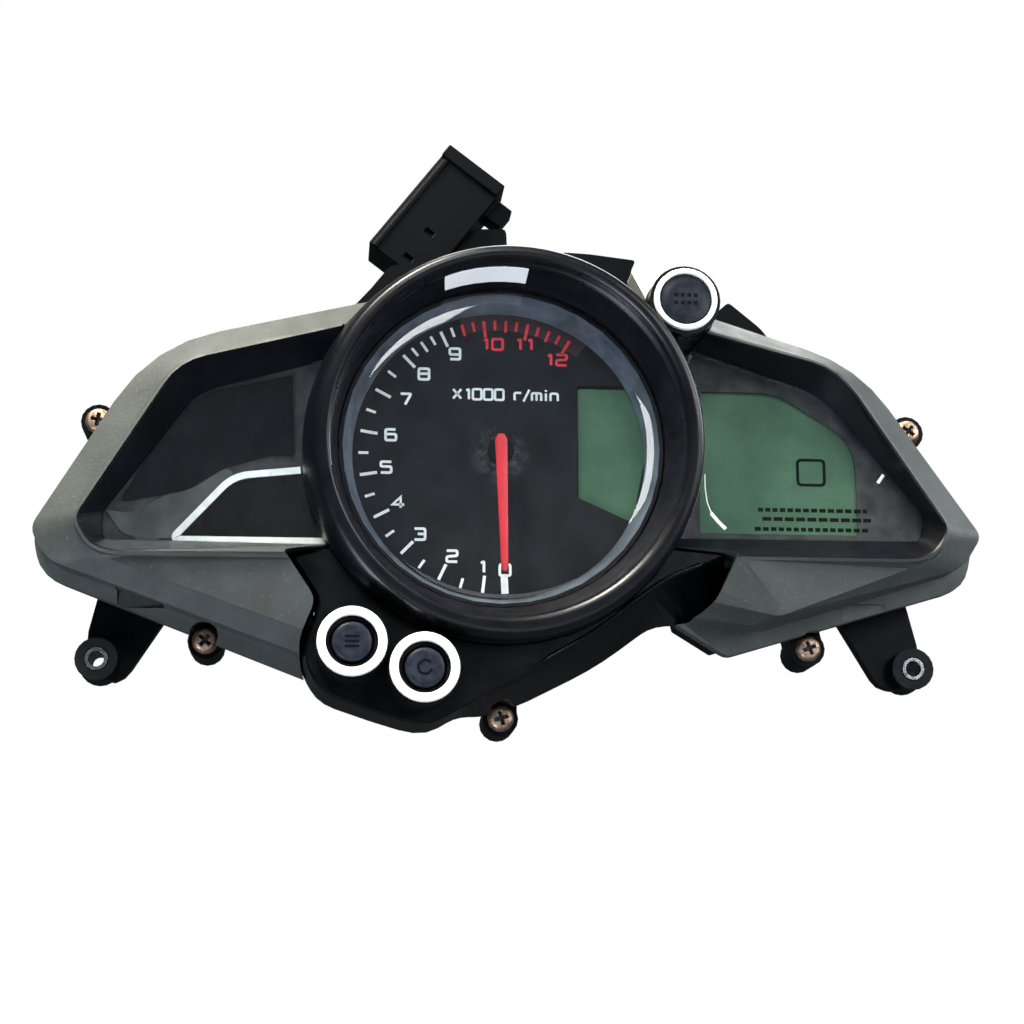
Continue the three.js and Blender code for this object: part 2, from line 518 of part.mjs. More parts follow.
// ---- stepper motor behind the board -------------------------------------------------------------------
const GEAR_MODULE = 0.4;
const OUTPUT_TEETH = 40;
const PINION_TEETH = 8;
const IDLER_TEETH = 36;
const ROTOR_TEETH = 9;
const IDLER_AT = [0, (-GEAR_MODULE * (OUTPUT_TEETH + PINION_TEETH)) / 2];
const ROTOR_REACH = (GEAR_MODULE * (IDLER_TEETH + ROTOR_TEETH)) / 2;
const ROTOR_TURN = THREE.MathUtils.degToRad(-60);
const ROTOR_AT = [
  IDLER_AT[0] + ROTOR_REACH * Math.cos(ROTOR_TURN), IDLER_AT[1] + ROTOR_REACH * Math.sin(ROTOR_TURN),
];

// Spur gear outline; a tooth points along the angle phase (radians from +X towards +Z).
function gearLoop(teeth, phase) {
  const pitchRadius = (GEAR_MODULE * teeth) / 2;
  const tip = pitchRadius + 0.24;
  const root = pitchRadius - 0.36;
  const pitchAngle = (Math.PI * 2) / teeth;
  const loop = [];
  for (let tooth = 0; tooth < teeth; tooth += 1) {
    const middle = phase + tooth * pitchAngle;
    [[root, -0.27], [tip, -0.11], [tip, 0.11], [root, 0.27]].forEach(([radius, offset]) => {
      const angle = middle + offset * pitchAngle;
      loop.push([radius * Math.cos(angle), radius * Math.sin(angle)]);
    });
  }
  return loop;
}

function gearBody(teeth, phase, back, front, at) {
  const geometry = prism(gearLoop(teeth, phase), back, front);
  geometry.translate(at[0], 0, at[1]);
  return geometry;
}

// At each mesh a tooth of one gear points into a space of the other.
const OUTPUT_PHASE = -Math.PI / 2;
const PINION_PHASE = Math.PI / 2 + Math.PI / PINION_TEETH;
const IDLER_PHASE = ROTOR_TURN;
const ROTOR_PHASE = ROTOR_TURN + Math.PI + Math.PI / ROTOR_TEETH;
const NEEDLE_SHAFT = 0.8;

const MOTOR_OUTLINE = [[-11.5, 11.5, 2], [14.5, 11.5, 2], [14.5, -23, 2], [-11.5, -23, 2]];
const motorOutline = smoothLoop(MOTOR_OUTLINE);
const motorInside = smoothLoop(grow(MOTOR_OUTLINE, -1.2));
const motorCase = cut(
  solid(prism(motorOutline, -7.8, BOARD_BACK + GAP)),
  prism(motorInside, -6, -16.4), disc(1.3, -5, -20, [0, 0], 14),
);
add('motor_case', motorCase, 0x1d1e22, 0.6, motorGroup);
const motorCover = cut(
  join(prism(motorOutline, -5.6, -7.5), disc(0.5, -7, -16, IDLER_AT, 10), disc(0.5, -7, -16, ROTOR_AT, 10)),
  disc(1.1, -6.4, -9, [0, 0], 12),
);
add('motor_cover', motorCover, 0x26272b, 0.6, motorGroup);
const COIL_WIRE = 0xa35a2a;
[['motor_coil_a', -7.9, 3.2], ['motor_coil_b', 11, 3.2]].forEach(([name, x, length]) => {
  const coil = washer(2.2, 1.1, -8.6, -8.6 - length, [x, -3.4], 16);
  add(name, coil, COIL_WIRE, 0.35, motorGroup, 0.8);
});
const rotor = cut(
  join(disc(3, -8.3, -11.4, ROTOR_AT, 20), gearBody(ROTOR_TEETH, ROTOR_PHASE, -11.3, -13.4, ROTOR_AT)),
  disc(0.7, -7, -16, ROTOR_AT, 10),
);
add('motor_rotor', rotor, 0x3c3d42, 0.5, motorGroup);
const idler = cut(
  join(gearBody(IDLER_TEETH, IDLER_PHASE, -12, -13.1, IDLER_AT),
    gearBody(PINION_TEETH, PINION_PHASE, -13, -15.6, IDLER_AT)),
  disc(0.7, -7, -17, IDLER_AT, 10),
);
add('motor_idler_gear', idler, 0xe4e0d0, 0.5, motorGroup);
const outputGear = join(gearBody(OUTPUT_TEETH, OUTPUT_PHASE, -13.7, -15.1, [0, 0]),
  disc(NEEDLE_SHAFT, -7.2, -43.2, [0, 0], 12));
add('motor_output_gear', outputGear, 0xe4e0d0, 0.5, needleGroup);

// ---- needle ------------------------------------------------------------------------------------------
const hubProfile = [[0, -40.2], [3.4, -40.2], [3.7, -41], [3.7, -43.6], [3.2, -44.4], [0, -44.6]];
const hubBore = disc(NEEDLE_SHAFT + 0.05, -39, -43.4, [0, 0], 12);
const needleHub = cut(solid(turned(hubProfile, [0, 0], 24)), hubBore);
add('needle_hub', needleHub, 0x17181a, 0.5, needleGroup);
const NEEDLE_REST = THREE.MathUtils.degToRad(-2.5);
const NEEDLE_OUTLINE = [[-1.5, 4.6, 0.8], [1.5, 4.6, 0.8], [0.75, -33.6, 0.4], [-0.75, -33.6, 0.4]];
const pointer = prism(smoothLoop(NEEDLE_OUTLINE), -44.8, -46.2);
pointer.rotateY(NEEDLE_REST);
add('needle_pointer', pointer, NEEDLE_RED, 0.45, needleGroup);

// ---- buttons -----------------------------------------------------------------------------------------
const CAP_RADIUS = 5.7;
const BUTTON_STEM = 2.2;
const SWITCH_FRONT = BOARD_FRONT - 3.6;
[['mode', MODE_AT], ['set', SET_AT]].forEach(([name, at]) => {
  add(`${name}_button_ring`, turned([[7.2, BARREL_FRONT - 0.1], [9.5, BARREL_FRONT - 0.1], [9.4, -60.4],
    [9, -60.7], [7.6, -60.7], [7.2, -60.3]], at, 24), 0xf1f1ee, 0.4, switchGroup);
  add(`${name}_button`, turned([[0, -25.4], [BUTTON_STEM, -25.4], [BUTTON_STEM, -56], [CAP_RADIUS, -56],
    [CAP_RADIUS, -59.5], [5.1, -60.1], [0, -60.4]], at, 20), 0x17181b, 0.55, switchGroup);
  add(`${name}_button_boot`, turned([[2.6, -54], [6.6, -54], [7, -53.6], [7, -58.2], [6, -58.2], [6, -54.9],
    [2.6, -54.9]], at, 20), 0x121214, 0.8, switchGroup);
  const switchBody = join(box(6.2, 3.4, 6.2, at[0], BOARD_FRONT - 0.1 - 1.7, at[1]));
  add(`${name}_switch`, cut(switchBody, disc(1.9, BOARD_FRONT - 1.2, -26, at)), 0x2a2b2e, 0.5, switchGroup);
  add(`${name}_switch_plunger`, disc(1.7, SWITCH_FRONT + 0.6, -25.3, at), 0xbfb8a8, 0.5, switchGroup);
});

// ---- warning lamp ------------------------------------------------------------------------------------
const POD_BORE = 7.3;
const podTube = cut(
  join(disc(BARREL_RADIUS, -30, BARREL_FRONT, LAMP_AT, 32)),
  disc(POD_BORE, -46.6, -70, LAMP_AT, 28), disc(POD_BORE, -20, -45, LAMP_AT, 28), ringRoom, drumRoom,
  disc(1.2, -40, -50, LAMP_AT, 10),
);
add('shift_lamp_pod', podTube, 0x111215, 0.4, lampGroup);
const lampCollar = join(
  turned([[7.2, BARREL_FRONT - 0.1], [9.4, BARREL_FRONT - 0.1], [9.3, -60.4], [8.9, -60.7], [7.6, -60.7],
    [7.2, -60.3]], LAMP_AT, 24),
);
add('shift_lamp_ring', lampCollar, 0xf1f1ee, 0.4, lampGroup);
add('shift_lamp_lens', turned([[0, -57.6], [7, -57.6], [7, -59.3], [6.2, -60], [0, -60.4]], LAMP_AT, 24),
  0x1c1d21, 0.3, lampGroup);
add('shift_lamp_led', turned([[0, -46.9], [2.9, -46.9], [2.9, -47.9], [2.4, -47.9], [2.4, -51], [1.7, -52.6],
  [0, -53.2]], LAMP_AT, 16), 0xd8403a, 0.2, lampGroup);
const SHOULDER = [[36, 50.6, 0.6], [43, 53.4, 1], [44.6, 49.4, 1], [40.4, 42, 0.6]];
const shoulder = cut(solid(prism(smoothLoop(SHOULDER), -41, -50)), ringRoom, lampRoom);
add('shift_lamp_shoulder', shoulder, 0xe9eaea, 0.45, lampGroup);

// ---- connector ---------------------------------------------------------------------------------------
const connector = group('connector');
connector.position.set(...CONNECTOR_AT);
connector.rotation.y = -CONNECTOR_TILT;
// local X runs along the mouth edge, local -Z runs into the body
const shroudFront = -CONNECTOR_THICK / 2;
const shroudOutside = join(
  box(CONNECTOR_LONG, CONNECTOR_THICK, CONNECTOR_DEEP, 0, 0, -CONNECTOR_DEEP / 2),
  box(4, 2.4, CONNECTOR_DEEP, CONNECTOR_LONG / 2 - 2, shroudFront - 0.4, -CONNECTOR_DEEP / 2),
  box(CONNECTOR_LONG - 4, 1.6, 1.6, -2, shroudFront, -2.2),
  box(6.5, 8, 6, 13.2, 0, -23),
);
const shroud = cut(
  shroudOutside,
  box(CONNECTOR_LONG - 4, CONNECTOR_THICK - 4, 17.4, 0, 0, -7.7),
  box(1.4, 3, 2.8, -15.7, shroudFront, -11.8), box(1.4, 3, 2.8, -5.7, shroudFront, -11.8),
);
add('connector_shroud', shroud, 0x141518, 0.6, connector);
const pinPieces = [box(32, 8.4, 1.6, 0, 0, -15.3)];
for (let column = 0; column < 10; column += 1) {
  [-2.4, 2.4].forEach((row) => pinPieces.push(box(0.9, 0.9, 8.6, -14.4 + column * 3.2, row, -10.4)));
}
add('connector_pins', join(...pinPieces), 0xb9a15a, 0.35, connector, 0.9);
const sealOutside = join(box(33.8, 12.4, 2.2, 0, 0, -4));
add('connector_seal', cut(sealOutside, box(31, 9.6, 4, 0, 0, -4)), 0x2b4c8f, 0.8, connector);

// ---- fixings -----------------------------------------------------------------------------------------
Object.entries(SCREWS_AT).forEach(([name, at]) => {
  const screw = turned([[0, -12], [1.2, -12.6], [1.2, EAR_FRONT - 0.2], [SCREW_HEAD, EAR_FRONT - 0.2],
    [SCREW_HEAD, -23.4], [2.8, -24.6], [0, -25]], at, 14);
  add(`cover_screw_${name}`, screw, 0x8a7350, 0.35, fixingGroup, 0.9);
});
Object.entries(LUGS_AT).forEach(([side, at]) => {
  const grommet = turned([
    [3.4, LUG_BACK + 1.4], [6, LUG_BACK + 1.4], [6, LUG_BACK + 0.2], [4.3, LUG_BACK + 0.2],
    [4.3, LUG_FRONT - 0.2], [6, LUG_FRONT - 0.2], [6, LUG_FRONT - 1.4], [3.4, LUG_FRONT - 1.4],
  ], at, 20);
  add(`lug_grommet_${side}`, grommet, 0x17171a, 0.85, fixingGroup);
  const sleeve = washer(SLEEVE_RADIUS, SLEEVE_BORE, LUG_BACK + 1.6, LUG_FRONT - 1.6, at);
  add(`lug_sleeve_${side}`, sleeve, 0xb9bcc0, 0.3, fixingGroup, 1);
});
// paper label on the inner slope of the ring, left of the top
const LABEL_MIDDLE = THREE.MathUtils.degToRad(96.6);
const LABEL_HALF = THREE.MathUtils.degToRad(14.2);
const labelFan = [[0, 0], ...[-1, -0.5, 0, 0.5, 1].map((part) => {
  const angle = LABEL_MIDDLE + part * LABEL_HALF;
  return [60 * Math.cos(angle), 60 * Math.sin(angle)];
})];
const labelProfile = [[47.6, -56.9], [46.1, -51.7], [45.8, -51.78], [47.3, -56.98]];
const labelRing = solid(lean(turned(labelProfile, [0, 0], 72)));
add('blank_label', labelRing.intersect(solid(prism(labelFan, -45, -70))), 0xf6f6f4, 0.6, fixingGroup);
add('breather_plug', disc(BREATHER_RADIUS, -0.3, -1.4, BREATHER_AT, 18), 0x2a2b2e, 0.7, fixingGroup);

export default cluster;
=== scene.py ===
"""Looks of the motorcycle instrument cluster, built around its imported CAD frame."""
import json
import math

import bmesh
import bpy
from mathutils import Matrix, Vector


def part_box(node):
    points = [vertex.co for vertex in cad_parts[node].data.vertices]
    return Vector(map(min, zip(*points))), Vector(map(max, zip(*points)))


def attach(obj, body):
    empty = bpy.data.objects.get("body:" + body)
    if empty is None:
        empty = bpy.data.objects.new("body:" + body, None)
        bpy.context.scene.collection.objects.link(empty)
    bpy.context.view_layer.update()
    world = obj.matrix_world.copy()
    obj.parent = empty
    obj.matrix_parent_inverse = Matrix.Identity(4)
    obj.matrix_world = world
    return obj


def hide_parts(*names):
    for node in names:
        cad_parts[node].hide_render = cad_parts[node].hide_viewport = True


MM = 0.001
BODY = "cluster_body"

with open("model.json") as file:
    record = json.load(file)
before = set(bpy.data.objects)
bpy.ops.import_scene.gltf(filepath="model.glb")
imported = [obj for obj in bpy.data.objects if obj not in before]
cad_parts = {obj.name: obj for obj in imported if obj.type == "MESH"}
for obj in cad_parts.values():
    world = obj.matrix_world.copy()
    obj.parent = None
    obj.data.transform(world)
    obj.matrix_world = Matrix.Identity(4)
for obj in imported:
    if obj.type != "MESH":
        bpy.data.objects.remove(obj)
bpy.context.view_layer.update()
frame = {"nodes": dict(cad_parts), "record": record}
nodes = frame["nodes"]


# ---- materials ---------------------------------------------------------------------------------------
def linear(color):
    """sRGB 0-255 to linear."""
    def one(value):
        value /= 255
        return value / 12.92 if value <= 0.04045 else ((value + 0.055) / 1.055) ** 2.4
    return [one(value) for value in color]


class Nodes:
    """Small helper around a material's node tree."""

    def __init__(self, name):
        self.material = bpy.data.materials.new(name)
        self.material.use_nodes = True
        self.tree = self.material.node_tree
        self.tree.nodes.clear()
        self.out = self.tree.nodes.new("ShaderNodeOutputMaterial")
        self.place = self.tree.nodes.new("ShaderNodeTexCoord").outputs["Object"]

    def add(self, kind, values=None, links=None, **settings):
        """A new node with input values, links into its inputs and settings."""
        node = self.tree.nodes.new(kind)
        for key, value in settings.items():
            setattr(node, key, value)
        for key, value in (values or {}).items():
            node.inputs[key].default_value = value
        for key, value in (links or {}).items():
            self.tree.links.new(value, node.inputs[key])
        return node

    def noise(self, size, detail=3.0, rough=0.55, stretch=None):
        """Noise whose features measure about size millimetres, 0 to 1."""
        place = self.place
        if stretch:
            place = self.add("ShaderNodeMapping", {"Scale": stretch}, {"Vector": place}).outputs[0]
        values = {"Scale": 1 / (size * MM), "Detail": detail, "Roughness": rough}
        return self.add("ShaderNodeTexNoise", values, {"Vector": place}).outputs["Fac"]

    def spread(self, value, low, high, start=0.3, end=0.7):
        """Maps start to end onto low to high."""
        values = {"From Min": start, "From Max": end, "To Min": low, "To Max": high}
        return self.add("ShaderNodeMapRange", values, {"Value": value}).outputs[0]

    def mix(self, share, first, second):
        """Blend of two colours or colour sockets."""
        node = self.tree.nodes.new("ShaderNodeMix")
        node.data_type = "RGBA"
        sockets = {"Factor": node.inputs[0], "A": node.inputs[6], "B": node.inputs[7]}
        for key, value in (("Factor", share), ("A", first), ("B", second)):
            if isinstance(value, bpy.types.NodeSocket):
                self.tree.links.new(value, sockets[key])
            elif key == "Factor":
                sockets[key].default_value = value
            else:
                sockets[key].default_value = (*value[:3], 1)
        return node.outputs[2]

    def bump(self, height, depth):
        """Bump of depth millimetres."""
        values = {"Strength": 1.0, "Distance": depth * MM}
        return self.add("ShaderNodeBump", values, {"Height": height}).outputs[0]

    def finish(self, shader):
        self.tree.links.new(shader, self.out.inputs["Surface"])
        return self.material


DUST = (150, 150, 145)


def plastic(name, color, rough, grain=0.02, grain_size=0.35, mottle=0.12, mottle_size=14, dust=0.0,
            specular=0.35):
    """Moulded material: soft colour change, fine surface grain, uneven gloss and a little dust."""
    n = Nodes(name)
    base = linear(color)
    darker = [part * (1 - 2 * mottle) for part in base]
    lifted = [min(part * (1 + mottle), 1) for part in base]
    cloud = n.noise(mottle_size)
    shade = n.mix(n.spread(cloud, 0, 1), darker, lifted)
    if dust:
        specks = n.spread(n.noise(1.1, 4, 0.7), 0, dust, 0.58, 0.78)
        shade = n.mix(specks, shade, linear(DUST))
    gloss = n.spread(n.noise(mottle_size * 0.4, 4), rough * 0.86, min(rough * 1.14, 1))
    normal = n.bump(n.noise(grain_size, 2), grain)
    shader = n.add("ShaderNodeBsdfPrincipled", {"Specular IOR Level": specular},
                   {"Base Color": shade, "Roughness": gloss, "Normal": normal})
    return n.finish(shader.outputs[0])


DIAL_RADIUS = 41.0          # of the black printed circle
SMUDGE_RADII = (3.5, 9)     # the smudge round the hub fades out between these


def dial_paint(name):
    """Printed dial: black film with a smudge round the hub, and a grey border outside its circle."""
    n = Nodes(name)
    axes = n.add("ShaderNodeSeparateXYZ", links={0: n.place})
    flat = n.add("ShaderNodeCombineXYZ", links={0: axes.outputs["X"], 2: axes.outputs["Z"]})
    reach = n.add("ShaderNodeVectorMath", links={0: flat.outputs[0]}, operation="LENGTH").outputs["Value"]
    cloud = n.spread(n.noise(9, 4), 0, 1)
    black = n.mix(cloud, linear((16, 17, 21)), linear((29, 30, 34)))
    near = n.spread(reach, 1, 0, SMUDGE_RADII[0] * MM, SMUDGE_RADII[1] * MM)
    stain = n.spread(n.noise(3.5, 4, 0.7), 0, 0.55, 0.42, 0.62)
    share = n.add("ShaderNodeMath", links={0: near, 1: stain}, operation="MULTIPLY").outputs[0]
    black = n.mix(share, black, linear((108, 110, 116)))
    specks = n.spread(n.noise(1.0, 4, 0.7), 0, 0.35, 0.63, 0.76)
    black = n.mix(specks, black, linear((130, 132, 134)))
    border = n.mix(n.spread(n.noise(6, 4), 0, 1), linear((46, 48, 51)), linear((78, 78, 79)))
    outside = n.spread(reach, 0, 1, DIAL_RADIUS * MM, (DIAL_RADIUS + 0.1) * MM)
    shade = n.mix(outside, black, border)
    normal = n.bump(n.noise(0.35, 2), 0.01)
    shader = n.add("ShaderNodeBsdfPrincipled", {"Roughness": 0.7, "Specular IOR Level": 0.08},
                   {"Base Color": shade, "Normal": normal})
    return n.finish(shader.outputs[0])


def clear_film(name, haze, tint, rough=0.04, smudge_size=16):
    """Thin clear plastic: seen through, with a mirror sheen and smudged dust."""
    n = Nodes(name)
    clear = n.add("ShaderNodeBsdfTransparent", {"Color": (*linear(tint), 1)}).outputs[0]
    sheen = n.add("ShaderNodeBsdfGlossy", {"Color": (1, 1, 1, 1), "Roughness": rough}).outputs[0]
    dull = n.add("ShaderNodeBsdfDiffuse", {"Color": (*linear((176, 182, 190)), 1)}).outputs[0]
    tilt = n.add("ShaderNodeLayerWeight", {"Blend": 0.5}).outputs["Facing"]
    steep = n.add("ShaderNodeMath", {1: 5.0}, {0: tilt}, operation="POWER").outputs[0]
    edge = n.add("ShaderNodeMapRange", {"To Min": 0.04, "To Max": 1.0}, {"Value": steep}).outputs[0]
    seen = n.add("ShaderNodeMixShader", links={0: edge, 1: clear, 2: sheen}).outputs[0]
    smudges = n.spread(n.noise(smudge_size, 5, 0.62), haze * 0.35, haze * 1.5, 0.35, 0.72)
    return n.finish(n.add("ShaderNodeMixShader", links={0: smudges, 1: seen, 2: dull}).outputs[0])


def display_glass(name, color, pale):
    """Reflective liquid-crystal display: dull green with faint cells and paler clouds."""
    n = Nodes(name)
    cells = n.spread(n.noise(0.5, 1, 0.4), 0, 1, 0.35, 0.65)
    cloud = n.spread(n.noise(22, 3), 0, 1)
    shade = n.mix(cloud, linear(color), linear(pale))
    shade = n.mix(n.spread(cells, 0, 0.16, 0, 1), shade, linear((40, 62, 50)))
    shader = n.add("ShaderNodeBsdfPrincipled", {"Roughness": 0.6, "Specular IOR Level": 0.08},
                   {"Base Color": shade})
    return n.finish(shader.outputs[0])


def metal(name, color, rough, tarnish=None, brushed=0.0):
    """Bare metal with tarnished clouds; brushed is the depth of the brush lines in millimetres."""
    n = Nodes(name)
    cloud = n.spread(n.noise(1.6, 5, 0.65), 0, 1, 0.38, 0.68)
    shade = n.mix(cloud, linear(color), linear(tarnish or color))
    gloss = n.spread(n.noise(0.8, 4), rough * 0.8, min(rough * 1.5, 1))
    normal = n.bump(n.noise(0.3, 3, stretch=(1, 1 if not brushed else 0.08, 1)), 0.012 + brushed)
    shader = n.add("ShaderNodeBsdfPrincipled", {"Metallic": 1.0},
                   {"Base Color": shade, "Roughness": gloss, "Normal": normal})
    return n.finish(shader.outputs[0])


LOOKS = {}


def add_look(maker, name, *values, **settings):
    LOOKS[name] = maker(name, *values, **settings)


add_look(plastic, "case_black", (6, 7, 10), 0.4, grain=0.02, grain_size=0.5, dust=0.006, specular=0.045)
add_look(plastic, "cover_grey", (50, 55, 54), 0.56, grain=0.06, grain_size=0.7, mottle=0.16, mottle_size=17,
         dust=0.16)
add_look(plastic, "cover_inner", (12, 13, 18), 0.4, grain=0.015, mottle=0.25, dust=0.02, specular=0.12)
add_look(plastic, "gloss_black", (5, 6, 9), 0.28, grain=0.004, mottle=0.15, dust=0.008, specular=0.18)
add_look(plastic, "ring_black", (7, 8, 13), 0.3, grain=0.001, grain_size=1.5, mottle=0.1, dust=0.008,
         specular=0.26)
add_look(dial_paint, "dial_film")
add_look(plastic, "panel_black", (12, 13, 19), 0.6, grain=0.01, mottle=0.3, mottle_size=7, dust=0.05,
         specular=0.06)
add_look(plastic, "reflector_grey", (92, 100, 112), 0.42, grain=0.008, mottle=0.28, mottle_size=8,
         dust=0.12)
add_look(plastic, "white_plastic", (222, 223, 220), 0.42, grain=0.01, mottle=0.02)
add_look(plastic, "rubber", (17, 17, 20), 0.8, grain=0.03, grain_size=0.3, dust=0.03, specular=0.15)
add_look(plastic, "seal_blue", (43, 76, 143), 0.7, grain=0.02)
add_look(plastic, "board_green", (28, 92, 58), 0.45, grain=0.01, mottle=0.1, mottle_size=4)
add_look(plastic, "gear_plastic", (228, 222, 206), 0.45, grain=0.01, mottle=0.03)
add_look(plastic, "needle_red", (190, 34, 47), 0.45, grain=0.004, mottle=0.05, mottle_size=6)
add_look(plastic, "paper_white", (238, 239, 240), 0.6, grain=0.01, mottle=0.03, dust=0.03)
add_look(plastic, "print_white", (236, 239, 241), 0.6, grain=0.004, mottle=0.08, mottle_size=2.5)
add_look(plastic, "print_red", (226, 48, 68), 0.6, grain=0.004, mottle=0.14, mottle_size=2.5)
add_look(plastic, "print_haze", (50, 22, 31), 0.6, grain=0.004, mottle=0.25, mottle_size=5)
add_look(plastic, "print_dark", (10, 16, 14), 0.7, grain=0.004, mottle=0.1, specular=0.05)
add_look(plastic, "border_grey", (76, 80, 79), 0.6, grain=0.02, mottle=0.2, mottle_size=7, dust=0.1)
add_look(plastic, "cap_grey", (29, 34, 45), 0.4, grain=0.012, mottle=0.3, mottle_size=2.5, dust=0.06,
         specular=0.12)
add_look(plastic, "cap_mark", (8, 10, 15), 0.7, grain=0.01, specular=0.04)
add_look(plastic, "lamp_smoke", (24, 28, 38), 0.35, grain=0.006, mottle=0.3, mottle_size=3, specular=0.12)
add_look(plastic, "recess_dark", (18, 15, 13), 0.7, grain=0.02)
add_look(display_glass, "lcd", (62, 92, 72), (88, 120, 96))
add_look(clear_film, "clear_lens", 0.004, (250, 252, 252))
add_look(clear_film, "window_lens", 0.003, (251, 253, 253), smudge_size=22)
add_look(clear_film, "light_guide", 0.3, (225, 232, 236), 0.2)
add_look(metal, "steel", (196, 199, 205), 0.28, tarnish=(120, 118, 114))
add_look(metal, "screw_bronze", (176, 154, 134), 0.46, tarnish=(104, 84, 70))
add_look(metal, "sleeve_steel", (120, 122, 126), 0.34, tarnish=(62, 60, 60))
add_look(metal, "contact_brass", (196, 170, 104), 0.3, tarnish=(150, 122, 70))
add_look(metal, "winding", (164, 92, 46), 0.35, brushed=0.03)
NODE_LOOK = {row["node"]: row["material_slot"] for row in frame["record"]["subparts"]}


# ---- meshes ------------------------------------------------------------------------------------------
def smooth(data):
    """Shades every face of a mesh smooth."""
    for face in data.polygons:
        face.use_smooth = True


def piece(name, points, faces, look, body=BODY, replaces=(), bevel=0.0, sharp=35):
    """A new mesh from points in millimetres, riding on a CAD body."""
    data = bpy.data.meshes.new(name)
    data.from_pydata([[part * MM for part in point] for point in points], [], faces)
    helper = bmesh.new()
    helper.from_mesh(data)
    bmesh.ops.remove_doubles(helper, verts=helper.verts, dist=1e-7)
    bmesh.ops.recalc_face_normals(helper, faces=helper.faces)
    helper.to_mesh(data)
    helper.free()
    made = bpy.data.objects.new(name, data)
    bpy.context.scene.collection.objects.link(made)
    data.materials.append(LOOKS[look])
    smooth(data)
    if bevel:
        soften(made, bevel, sharp)
    else:
        data.set_sharp_from_angle(angle=math.radians(sharp))
    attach(made, body)
    if replaces:
        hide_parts(*replaces)
    return made


def soften(made, width, angle):
    """Rounds the edges sharper than angle degrees by width millimetres."""
    edge = made.modifiers.new("edge", "BEVEL")
    edge.width = width * MM
    edge.segments = 2
    edge.limit_method = "ANGLE"
    edge.angle_limit = math.radians(angle)
    edge.harden_normals = True
    edge.use_clamp_overlap = True
    even = made.modifiers.new("even", "WEIGHTED_NORMAL")
    even.weight = 90


LONGEST_SHARE = 0.45        # of a side that the rounding of one corner may take


def rounded(corners, steps=6, closed=True):
    """Corner list [x, z, radius] to a smooth loop of [x, z]."""
    loop = []
    count = len(corners)
    for index, (x, z, radius) in enumerate(corners):
        ends = []
        for other in (corners[index - 1], corners[(index + 1) % count]):
            length = math.hypot(x - other[0], z - other[1]) or 1
            share = min(radius / length, LONGEST_SHARE)
            ends.append((x + (other[0] - x) * share, z + (other[1] - z) * share))
        if not closed and index in (0, count - 1) or radius == 0:
            loop.append((x, z))
            continue
        for step in range(steps + 1):
            part = step / steps
            first = [a + (b - a) * part for a, b in zip(ends[0], (x, z))]
            second = [a + (b - a) * part for a, b in zip((x, z), ends[1])]
            loop.append(tuple(a + (b - a) * part for a, b in zip(first, second)))
    return loop


def slab(loop, back, front):
    """Points and faces of a flat prism; back and front are depths."""
    count = len(loop)
    points = [(x, back, z) for x, z in loop] + [(x, front, z) for x, z in loop]
    faces = [list(range(count)), list(range(2 * count - 1, count - 1, -1))]
    for index in range(count):
        after = (index + 1) % count
        faces.append([index, after, count + after, count + index])
    return points, faces


def merged(parts):
    """Several (points, faces) pairs as one."""
    points, faces = [], []
    for more_points, more_faces in parts:
        start = len(points)
        points += more_points
        faces += [[corner + start for corner in face] for face in more_faces]
    return points, faces


def turned(profile, at=(0, 0), segments=96, closed=True, start=0.0, sweep=math.tau):
    """Profile [radius, y] turned about an axis along Y."""
    full = abs(sweep - math.tau) < 1e-6
    rows = segments if full else segments + 1
    points, faces = [], []
    for row in range(rows):
        turn = start + sweep * row / segments
        points += [(at[0] + r * math.cos(turn), y, at[1] + r * math.sin(turn)) for r, y in profile]
    count = len(profile)
    bands = count if closed else count - 1
    for row in range(segments):
        following = (row + 1) % rows
        for index in range(bands):
            after = (index + 1) % count
            faces.append([row * count + index, row * count + after,
                          following * count + after, following * count + index])
    return points, faces


VISOR_LEAN = 0.11           # forward, for each millimetre of height
CREST_SHIFT = 2.0
LEAN_START = -50.4
RING_CREST = -59.3
RING_BORE = 45.2
SHIFT_REACH = 3             # the shift grows from 0 over this distance outside the bore


def lean(points):
    """Leans the front of the ring forward towards its top and moves its crest towards +X."""
    leaned = []
    for x, y, z in points:
        share = max(0.0, min(1.0, (LEAN_START - y) / (LEAN_START - RING_CREST)))
        outer = max(0.0, min(1.0, (math.hypot(x, z) - RING_BORE) / SHIFT_REACH))
        leaned.append((x + share * outer * CREST_SHIFT, y - share * VISOR_LEAN * z, z))
    return leaned


# ---- CAD nodes that stay: soft edges and finished materials ----------------------------------------
WELD_GAP = 0.004
FLAT_ANGLE = math.radians(1.5)
PLAIN_EDGE = 0.12
EDGE_WIDTH = {
    "rear_housing": 0.5, "front_frame": 0.35, "left_wing_cover": 0.45, "right_wing_cover": 0.45,
    "chin_cover": 0.7, "dial_plate": 0.1, "connector_shroud": 0.5,
}


def keep(name, look=None):
    """Gives a CAD node its material and soft edges; the flat window lenses need no soft edges."""
    node = nodes[name]
    node.data.materials.clear()
    node.data.materials.append(LOOKS[look or NODE_LOOK[name]])
    if name.endswith("window_lens"):
        return
    weld = node.modifiers.new("weld", "WELD")
    weld.merge_threshold = WELD_GAP * MM
    flat = node.modifiers.new("flat", "DECIMATE")
    flat.decimate_type = "DISSOLVE"
    flat.angle_limit = FLAT_ANGLE
    soften(node, EDGE_WIDTH.get(name, PLAIN_EDGE), 28)
    smooth(node.data)


OTHER_LOOK = {"telltale_panel": "panel_black", "left_insert_panel": "gloss_black",
              "left_window_lens": "window_lens", "right_window_lens": "window_lens",
              "lug_sleeve_left": "sleeve_steel", "lug_sleeve_right": "sleeve_steel"}
for name in nodes:
    keep(name, OTHER_LOOK.get(name))


